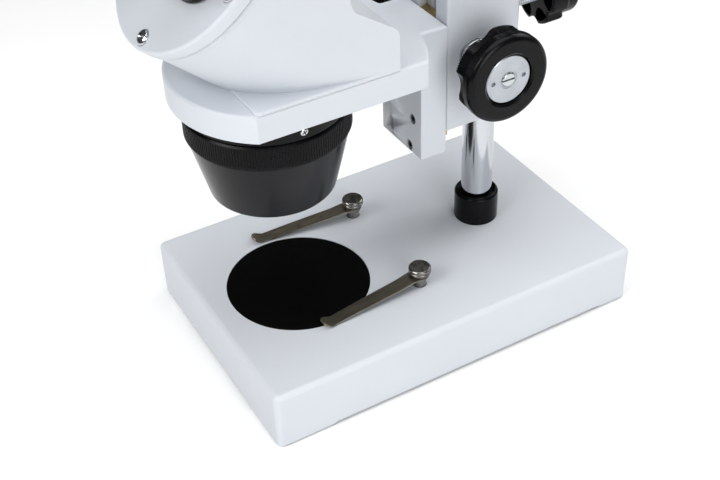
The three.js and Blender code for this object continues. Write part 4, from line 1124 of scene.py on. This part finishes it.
# %% Slide and rack
plan = [Vector((-SLIDE_HALF, slide_low.y)), Vector((SLIDE_HALF, slide_low.y)),
        Vector((slide_high.x, slide_high.y)), Vector((-slide_high.x, slide_high.y))]
plan = soften(plan, 0.3 * MM, 3, closed=True)
slide = solid("dovetail", pillow(plan, slide_low.z, slide_high.z, 0.4 * MM, 0.4 * MM))
dress(slide, brass, "head", "dovetail_slide")
rack_low, rack_high = (Vector(v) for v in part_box("focus_rack"))
pitch = 2 * math.pi * PITCH_R * MM / TEETH
root = rack_low.y + (rack_high.y - rack_low.y) * 0.30
count = round((rack_high.z - rack_low.z) / pitch)
first = pinion_at.z - math.floor((pinion_at.z - rack_low.z) / pitch) * pitch
strip = solid("rack_back", brick(-3 * MM, 3 * MM, rack_low.y, root, rack_low.z, rack_high.z))
ease_edges(strip, 0.1 * MM, 1)
dress(strip, brass, "head", "focus_rack")
profile = [(root - 0.1 * MM, -0.78), (root, -0.72), (rack_high.y - 0.05 * MM, -0.27), (rack_high.y, -0.20),
           (rack_high.y, 0.20), (rack_high.y - 0.05 * MM, 0.27), (root, 0.72), (root - 0.1 * MM, 0.78)]
tooth = lofted([[(x, y, first + z * MM) for y, z in profile] for x in (-2.95 * MM, 2.95 * MM)])
teeth = solid("rack_teeth", tooth)
repeat(teeth, ALONG, count=count, spacing=(0.0, 0.0, pitch), finish=brass)
dress(teeth, brass, "head")
print("rack teeth", count, "pitch mm", round(pitch / MM, 3))

# %% [markdown]
# ## The head
# The head is a big tilted barrel. It is round where the cover closes it, grows
# squarer and narrower towards the arm, and is cut off flat at the bottom and down
# the back. A thin foot plate follows the arm's width. The barrel is lofted about
# the eye axis, cut to its side view, and hollowed like a real casting.

# %% Head casting
eye_axis = Vector(joints["eye_left_swing"]["axis"]).normalized()
cover_mid = middle("front_cover")
cover_frame = axes_at(cover_mid, eye_axis, X)
cover_low, cover_high, cover_r = reach("front_cover", cover_frame)
cover_face = cover_mid + eye_axis * cover_high
cover = axes_at(cover_face, eye_axis, X)
seat = cover_low - cover_high - 0.3 * MM
head_low, head_high = (Vector(v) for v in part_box("head_body"))
barrel_r, foot_half = cover_r - 0.7 * MM, arm_half - 0.05 * MM
TAPER, WALL = 62 * MM, 4 * MM


def barrel_ring(back, wall, count=128):
    k = min(1, max(back, 0) / TAPER)
    s = k * k * (3 - 2 * k)
    bead = 0.45 * MM * max(0, 1 - abs(back - 0.8 * MM) / (0.8 * MM)) ** 0.5 if wall == 0 else 0
    wide = barrel_r * (1 - s) + foot_half * s - wall + bead
    deep = barrel_r - wall + bead
    ring = []
    for i in range(count):
        a = 2 * math.pi * (i + 0.5) / count
        c, d = math.cos(a), math.sin(a)
        power = 2 / (2 + 5 * s) if d > 0 else 1
        across, along = (math.copysign(abs(v) ** power, v) for v in (c, d))
        ring.append((wide * across, deep * along, seat - back))
    return ring


def barrel(name, wall, first):
    steps = [first] + [0.4 * MM * k for k in range(1, 5) if wall == 0] + [3 * MM * k for k in range(1, 36)]
    return solid(name, lofted([barrel_ring(s, wall) for s in steps]), cover)


def side_view(name, wall, low):
    back = head_high.y - wall
    waist = head_high.y - 18.8 * MM - wall
    step_z, top = head_low.z + 16 * MM - wall, cover_face.z + 60 * MM
    far = -0.15
    points = [(far, low), (back, low), (back, step_z), (waist, step_z + 13 * MM),
              (waist - 1.7 * MM, step_z + wall + 18 * MM), (waist - 8.5 * MM, top), (far, top)]
    points = [Vector(p) for p in points]
    curved = [points[0], points[1]] + soften(points[1:5], 2.2 * MM, 6)[1:] + points[5:]
    return solid(name, lofted([[(x, p[0], p[1]) for p in curved] for x in (-0.06, 0.06)]))


head_casting = common(barrel("head_barrel", 0, 0), side_view("side", 0, head_low.z))
inside = common(barrel("inside", WALL, -2 * MM), side_view("side", WALL, head_low.z - 1 * MM))
ease_edges(head_casting, 0.8 * MM, 3, 40)
FOOT_DEPTH, SLAB = 57 * MM, 1.2 * MM
foot = rounded_rectangle(-foot_half, foot_half, head_high.y - FOOT_DEPTH, head_high.y, 2 * MM, 8)
foot_plate = solid("foot_plate", pillow(foot, head_low.z, head_low.z + SLAB, 0.05 * MM, 0.55 * MM))
machine(head_casting, joins=[foot_plate], cutters=[inside])
dress(head_casting, paint, "head", "head_body")
print("head faces", len(head_casting.data.polygons))

# %% [markdown]
# ## Front cover
# A turned disc with a stepped, rounded rim closes the barrel. Five domed cross
# head screws hold it: one screw is modelled and set out around the eye axis.

# %% Front cover
COVER_ROUND = 1.1
r = cover_r / MM
profile = [(0, -5), (r - 0.6, -5), (r - 0.15, -4.8), (r, -4.3), (r, -1.3)]
profile += quarter_round(COVER_ROUND, r, 0)
profile += [(r * 0.6, 0), (0, 0)]
disc = solid("cover_disc", turned(mm(profile), 160), cover)
screw_at = cover.inverted() @ middle("cover_screw_1")
ring_r = math.hypot(screw_at.x, screw_at.y)
first = math.atan2(screw_at.y, screw_at.x)
SCREWS, HEAD_R = 5, 3.0
cutters = []
for k in range(SCREWS):
    a = first + 2 * math.pi * k / SCREWS
    sink = rod((HEAD_R + 0.15) * MM, -1.2 * MM, 1 * MM, 40, (ring_r * math.cos(a), ring_r * math.sin(a)))
    cutters.append(solid("sink", sink, cover))
pivots = {}
for side in ("left", "right"):
    pivots[side] = Vector(joints[f"eye_{side}_swing"]["pos_m"])
    at = cover.inverted() @ pivots[side]
    cutters.append(solid("pivot_hole", rod(6 * MM, -6 * MM, 1 * MM, 48, (at.x, at.y)), cover))
machine(disc, cutters=cutters)
dress(disc, paint, "head", "front_cover")
print("cover diameter mm", round(2 * r, 1))

# %% Cover screws
dome = [(0, -1.1), (HEAD_R, -1.1), (HEAD_R, 0.1)]
dome += [(HEAD_R * math.cos(t), 0.1 + 1.2 * math.sin(t)) for t in (math.radians(10 * k) for k in range(1, 9))]
dome.append((0, 1.3))
screw = solid("cover_screws", turned(mm(dome), 64))
wedge = [(-1.75, 1.6), (-0.9, -0.1), (0.9, -0.1), (1.75, 1.6)]
blades = []
for turn in (20, 110):
    blade = solid("cross", lofted([[(x * MM, y * MM, z * MM) for x, z in wedge] for y in (-0.36, 0.36)]))
    blades.append(move_mesh(blade, Matrix.Rotation(math.radians(turn), 4, "Z")))
machine(screw, cutters=blades)
repeat(screw, AROUND, count=SCREWS, radius=ring_r, first_angle=first, step_angle=2 * math.pi / SCREWS,
       finish=chrome)
move_mesh(screw, cover)
dress(screw, chrome, "head", *[f"cover_screw_{k + 1}" for k in range(SCREWS)], sharp=40)
print("cover screws at radius", round(ring_r, 4))

# %% [markdown]
# ## Objective turret
# Under the arm sits a plain black collar with one screw in its side. The turret
# hangs below it: a ring with fine straight knurling for the fingers, and a
# polished dark cone that shades four small lenses.

# %% Collar, screw and spindle
axis = Matrix.Translation((turret_at.x, turret_at.y, 0))
low, high, r = reach_mm("objective_collar", axis)
profile = [(5.15, low), (r - 0.3, low), (r, low + 0.3), (r, high - 1.5), (r - 0.45, high - 0.45),
           (r - 1.5, high), (5.15, high)]
profile = soften(mm(profile), 0.25 * MM, 3, closed=True)
collar = solid("turret_collar", turned(looped(profile), 144), axis)
side_way = axes_at(middle("collar_screw"), X, Y)
side_way.translation = Vector((turret_at.x, turret_at.y, middle("collar_screw").z))
machine(collar, cutters=[solid("screw_sink", rod(1.95 * MM, (r - 3) * MM, (r + 2) * MM, 32), side_way)])
dress(collar, moulded, "head", "objective_collar")
dome = [(0, r - 2.9), (1.8, r - 2.9), (1.8, r - 0.5), (1.6, r - 0.1), (1.1, r + 0.2), (0.5, r + 0.3), (0, r + 0.3)]
screw = solid("collar_pin", turned(mm(soften(dome, 0.2, 3)), 48))
blade = brick(-1 * MM, 1 * MM, -0.22 * MM, 0.22 * MM, (r - 0.45) * MM, (r + 1) * MM)
slots = [move_mesh(solid("cross", blade), Matrix.Rotation(math.radians(t), 4, "Z")) for t in (25, 115)]
machine(screw, cutters=slots)
dress(move_mesh(screw, side_way), chrome, "head", "collar_screw")
repaint("turret_spindle", nickel)
print("collar radius mm", round(r, 2))

# %% [markdown]
# The ring is turned, drilled for its set screw, and knurled: one straight rib is
# lofted and the tree sets it out all the way round.

# %% Turret ring
low, high, r = reach_mm("turret_ring", axis)
body_r = r - 0.32
shelf = low + 4.6
profile = [(5.1, shelf), (r - 3, shelf), (r - 3, low), (body_r - 0.3, low), (body_r, low + 0.3),
           (body_r, high - 0.8), (body_r - 0.6, high - 0.15), (body_r - 1.2, high), (5.1, high), (5.1, shelf)]
ring = solid("knurled_ring", turned(mm(profile), 180), axis)
SET_SCREW = math.radians(32)
way = Vector((math.cos(SET_SCREW), math.sin(SET_SCREW), 0))
drill = axes_at((turret_at.x, turret_at.y, (low + 5.2) * MM), way, Z)
machine(ring, cutters=[solid("set_screw_hole", rod(1.1 * MM, (r - 1.6) * MM, (r + 2) * MM, 32), drill)])
dress(ring, moulded, "turret", "turret_ring")
RIBS = 180
outline = [(-0.15, 0.36), (0.02, 0.34), (0.20, 0.20), (0.29, 0.09), (0.29, -0.09), (0.20, -0.20),
           (0.02, -0.34), (-0.15, -0.36)]
shape = lofted([[(body_r + h - d, -y, z) for h, y in outline]
                for z, d in ((low + 0.25, 0.25), (low + 0.45, 0), (high - 1.15, 0), (high - 0.85, 0.3))])
ribs = solid("ring_ribs", ([tuple(c * MM for c in v) for v in shape[0]], shape[1]))
repeat(ribs, AROUND, count=RIBS, radius=0.0, first_angle=0.0, step_angle=2 * math.pi / RIBS, finish=moulded)
dress(move_mesh(ribs, axis), moulded, "turret")
print("ring ribs", RIBS)

# %% [markdown]
# The cone is a thin turned shell with a floor, and the floor has a window in
# front of each of the four lenses.

# %% Turret cone
LIP_R, FLOOR_UP, FLOOR_T, WINDOW_OUT = 24.85, 4, 3, 11.5
c_low, c_high, c_r = reach_mm("turret_cone", axis)
floor = c_low + FLOOR_UP
slope = (c_r - LIP_R) / (c_high - c_low)
profile = [(0, floor), (LIP_R - 2.2, floor), (LIP_R - 2.2, c_low + 0.5), (LIP_R - 1.7, c_low), (LIP_R - 0.7, c_low),
           (LIP_R, c_low + 0.9), (c_r - 0.15, c_high - 0.6), (c_r - 0.3, c_high), (c_r - 2.5, c_high),
           (c_r - 2.5 - slope * (c_high - floor - FLOOR_T), floor + FLOOR_T), (0, floor + FLOOR_T)]
cone = solid("cone_shell", turned(mm(soften(profile, 0.5, 4)), 180), axis)
windows = {"low_1": (-WINDOW_OUT, 0), "low_2": (WINDOW_OUT, 0), "high_1": (0, -WINDOW_OUT), "high_2": (0, WINDOW_OUT)}
cutters = []
for x, y in windows.values():
    cutters.append(solid("window", rod(5.6 * MM, (floor - 1) * MM, (floor + 4) * MM, 64, (x * MM, y * MM)), axis))
machine(cone, cutters=cutters)
ease_edges(cone, 0.15 * MM, 2, 55)
dress(cone, shell, "turret", "turret_cone")
print("cone radius mm", round(LIP_R, 2), "to", round(c_r, 2))

# %% Turret lenses
for name, (x, y) in windows.items():
    at = axis @ Matrix.Translation((x * MM, y * MM, 0))
    low, high, r = reach_mm(f"objective_{name}", at)
    bowl = [(0, low + 0.35)] + [(3.9 * k / 6, low + 0.35 - 0.3 * (k / 6) ** 2) for k in range(1, 7)]
    bowl += [(4.4, low), (r - 0.3, low), (r, low + 0.3), (r, high), (0, high)]
    dress(solid(f"window_{name}", turned(mm(bowl), 72), at), lens, "turret", f"objective_{name}")
print("lens radius mm", round(r, 2))

# %% [markdown]
# ## Eye tubes
# Each eye tube stands on a white prism housing that swings on a black ring in the
# cover. The two sides mirror one another, and only the left one carries the
# dioptre ring. All of it is built straight along the tube's own axis and tilted
# at the end.

# %% Swing ring and prism housing
BIG_R, SMALL_R, EYE_BORE = 16.4 * MM, 14.6 * MM, 11.6


def swing_hub(side, pivot):
    low, high, r = reach_mm(f"swing_ring_{side}", pivot)
    seat_z = 0.3 - (cover.inverted() @ pivot.translation).z / MM
    hub = [(0, low), (5.8, low), (5.8, seat_z), (r - 0.6, seat_z), (r, seat_z + 0.6), (r, seat_z + 1.6),
           (r - 0.4, seat_z + 1.9), (r - 0.4, seat_z + 2.4), (r, seat_z + 2.7), (r, high), (0, high)]
    hub = turned(mm(soften(hub, 0.25, 3)), 128)
    dress(solid(f"swing_hub_{side}", hub, pivot), moulded, f"eye_{side}", f"swing_ring_{side}")


def prism_box(side, at, pin):
    low, high, _ = reach_mm(f"prism_housing_{side}", cover)
    lean = math.atan2(pin.y - at.y, pin.x - at.x)
    plan = []
    for centre, radius, turn in ((pin, BIG_R, lean - math.pi / 2), (at, SMALL_R, lean + math.pi / 2)):
        for t in (turn + math.pi * k / 40 for k in range(41)):
            plan.append(Vector((centre.x + radius * math.cos(t), centre.y + radius * math.sin(t))))
    housing = solid(f"prism_box_{side}", pillow(plan, low * MM, high * MM, 0.8 * MM, 3.0 * MM, 8), cover)
    dress(housing, paint, f"eye_{side}", f"prism_housing_{side}")


print("housing ends mm", round(BIG_R / MM, 1), round(SMALL_R / MM, 1))


# %% Eye tube, ocular, lens and cup
def eye_tube(side, tube):
    low, high, r = reach_mm(f"eye_tube_{side}", tube)
    wall = [(0, low), (r, low), (r, low + 1.6), (r - 0.5, low + 2.2), (r - 1.2, low + 2.6), (r - 1.2, high - 0.4),
            (r - 1.6, high), (EYE_BORE + 0.3, high), (EYE_BORE, high - 0.3), (EYE_BORE, low + 2), (0, low + 2)]
    wall = turned(mm(soften(wall, 0.25, 3)), 128)
    dress(solid(f"tube_{side}", wall, tube), moulded, f"eye_{side}", f"eye_tube_{side}")


def eyepiece(side, tube):
    body = f"eyepiece_{side}"
    low, high, r = reach_mm(f"eyepiece_{side}", tube)
    glass_low, glass_high, gr = reach_mm(f"eye_lens_{side}", tube)
    inner, step, b = gr + 0.1, high - 20, EYE_BORE - 0.1
    ocular = [(inner, low), (b, low), (b, step), (r - 0.5, step), (r, step + 0.5), (r, step + 5),
              (r - 0.4, step + 5.4), (r - 0.4, step + 6), (r, step + 6.4), (r, high - 1.2), (r - 1.5, high),
              (inner, high)]
    ocular = turned(mm(looped(soften(ocular, 0.25, 3, closed=True))), 128)
    dress(solid(f"ocular_{side}", ocular, tube), moulded, body, body)
    rise, edge = glass_high - glass_low - 2, glass_low + 2
    glass = [(0, glass_low), (gr, glass_low), (gr, edge)]
    glass += [(gr * math.cos(t), edge + rise * math.sin(t)) for t in (math.radians(10 * k) for k in range(1, 9))]
    glass = turned(mm(glass + [(0, glass_high)]), 96)
    dress(solid(f"field_lens_{side}", glass, tube), lens, body, f"eye_lens_{side}")
    low, high, _ = reach_mm(f"eyecup_{side}", tube)
    cup = [(b - 1, low), (r - 1.6, low), (r - 0.6, low + 0.7), (r - 0.4, low + 2), (r - 0.9, low + 3.2),
           (r - 1.7, high - 2.2), (r - 1.4, high - 1.2), (r, high - 0.2), (r - 0.3, high), (r - 1.4, high - 0.5),
           (r - 3, high - 1.4), (r - 3, low + 2.4), (b - 1, low + 1.6)]
    cup = turned(mm(looped(soften(cup, 0.5, 4, closed=True))), 128)
    dress(solid(f"cup_{side}", cup, tube), rubber, body, f"eyecup_{side}")
    print(side, "lens radius mm", round(gr, 2), "cup mm", round(high - low, 1))


# %% Both eye sides in place
for side in ("left", "right"):
    pivot = axes_at(pivots[side], eye_axis, X)
    tube_at = core(f"eye_tube_{side}")
    tube = axes_at(tube_at, eye_axis, X)
    swing_hub(side, pivot)
    prism_box(side, cover.inverted() @ pivots[side], cover.inverted() @ tube_at)
    eye_tube(side, tube)
    eyepiece(side, tube)
apart = core("eye_tube_right") - core("eye_tube_left")
print("between the eyes mm", round(apart.length / MM, 1))

# %% [markdown]
# The dioptre ring is knurled like the turret, with the same tree and a coarser rib.

# %% Dioptre ring
tube = axes_at(core("eye_tube_left"), eye_axis, X)
low, high, r = reach_mm("dioptre_ring", tube)
inner = min(math.hypot(p.x, p.y) for p in
            (tube.inverted() @ v.co for v in frame["nodes"]["dioptre_ring"].data.vertices)) / MM
inner, body_r = inner + 0.08, r - 0.45
profile = [(inner, low), (body_r - 0.3, low), (body_r, low + 0.3), (body_r, high - 0.3), (body_r - 0.3, high),
           (inner, high)]
dress(solid("dioptre_body", turned(mm(looped(profile)), 128), tube), moulded, "dioptre", "dioptre_ring")
DIOPTRE_RIBS = 60
outline = [(-0.15, 0.55), (0.15, 0.48), (0.40, 0.22), (0.40, -0.22), (0.15, -0.48), (-0.15, -0.55)]
shape = lofted([[((body_r + h - d) * MM, -y * MM, z * MM) for h, y in outline]
                for z, d in ((low + 0.9, 0.3), (low + 1.2, 0), (high - 1.2, 0), (high - 0.9, 0.3))])
ribs = solid("dioptre_ribs", shape)
repeat(ribs, AROUND, count=DIOPTRE_RIBS, radius=0.0, first_angle=0.0, step_angle=2 * math.pi / DIOPTRE_RIBS,
       finish=moulded)
dress(move_mesh(ribs, tube), moulded, "dioptre")
print("dioptre bore mm", round(2 * inner, 2), "ribs", DIOPTRE_RIBS)

# %% [markdown]
# ## The studio
# A white seamless floor and world with large soft lights above, in front, at the
# right side and behind, so that the white castings keep soft grey faces, the
# blacks show one long highlight, and the contact shadow stays faint.

# %% Floor, world and lights
backdrop = new_finish("white_floor", (0.96, 0.96, 0.96), 0.8, specular=0.1)
tint(backdrop, noise(backdrop, 3, 2), (0.955, 0.955, 0.955), (0.965, 0.965, 0.965))
floor = solid("floor", brick(-3, 3, -3, 3, -0.02, 0))
floor.data.materials.append(backdrop)

world = bpy.data.worlds.new("studio_white")
world.use_nodes = True
world.node_tree.nodes["Background"].inputs["Color"].default_value = (1.0, 1.0, 1.0, 1)
world.node_tree.nodes["Background"].inputs["Strength"].default_value = 0.08
bpy.context.scene.world = world


def softbox(name, position, target, size, power):
    data = bpy.data.lights.new(name, "AREA")
    data.shape, data.size, data.size_y = "RECTANGLE", size[0], size[1]
    data.energy = power
    obj = bpy.data.objects.new(name, data)
    bpy.context.scene.collection.objects.link(obj)
    obj.location = position
    obj.rotation_euler = (Vector(target) - Vector(position)).to_track_quat("-Z", "Y").to_euler()


softbox("top_light", (0.05, 0.05, 0.95), (0, 0.02, 0), (0.9, 0.9), 6.6)
softbox("front_light", (0.10, -0.85, 0.75), (0, 0, 0.08), (0.7, 0.5), 7.2)
softbox("side_light", (0.95, -0.05, 0.40), (0, 0.02, 0.05), (0.5, 0.7), 4.9)
softbox("back_light", (-0.1, 0.95, 0.7), (0, 0.02, 0.08), (0.8, 0.5), 4.2)
bpy.context.scene.view_settings.view_transform = "Standard"
print("lights", len(bpy.data.lights))
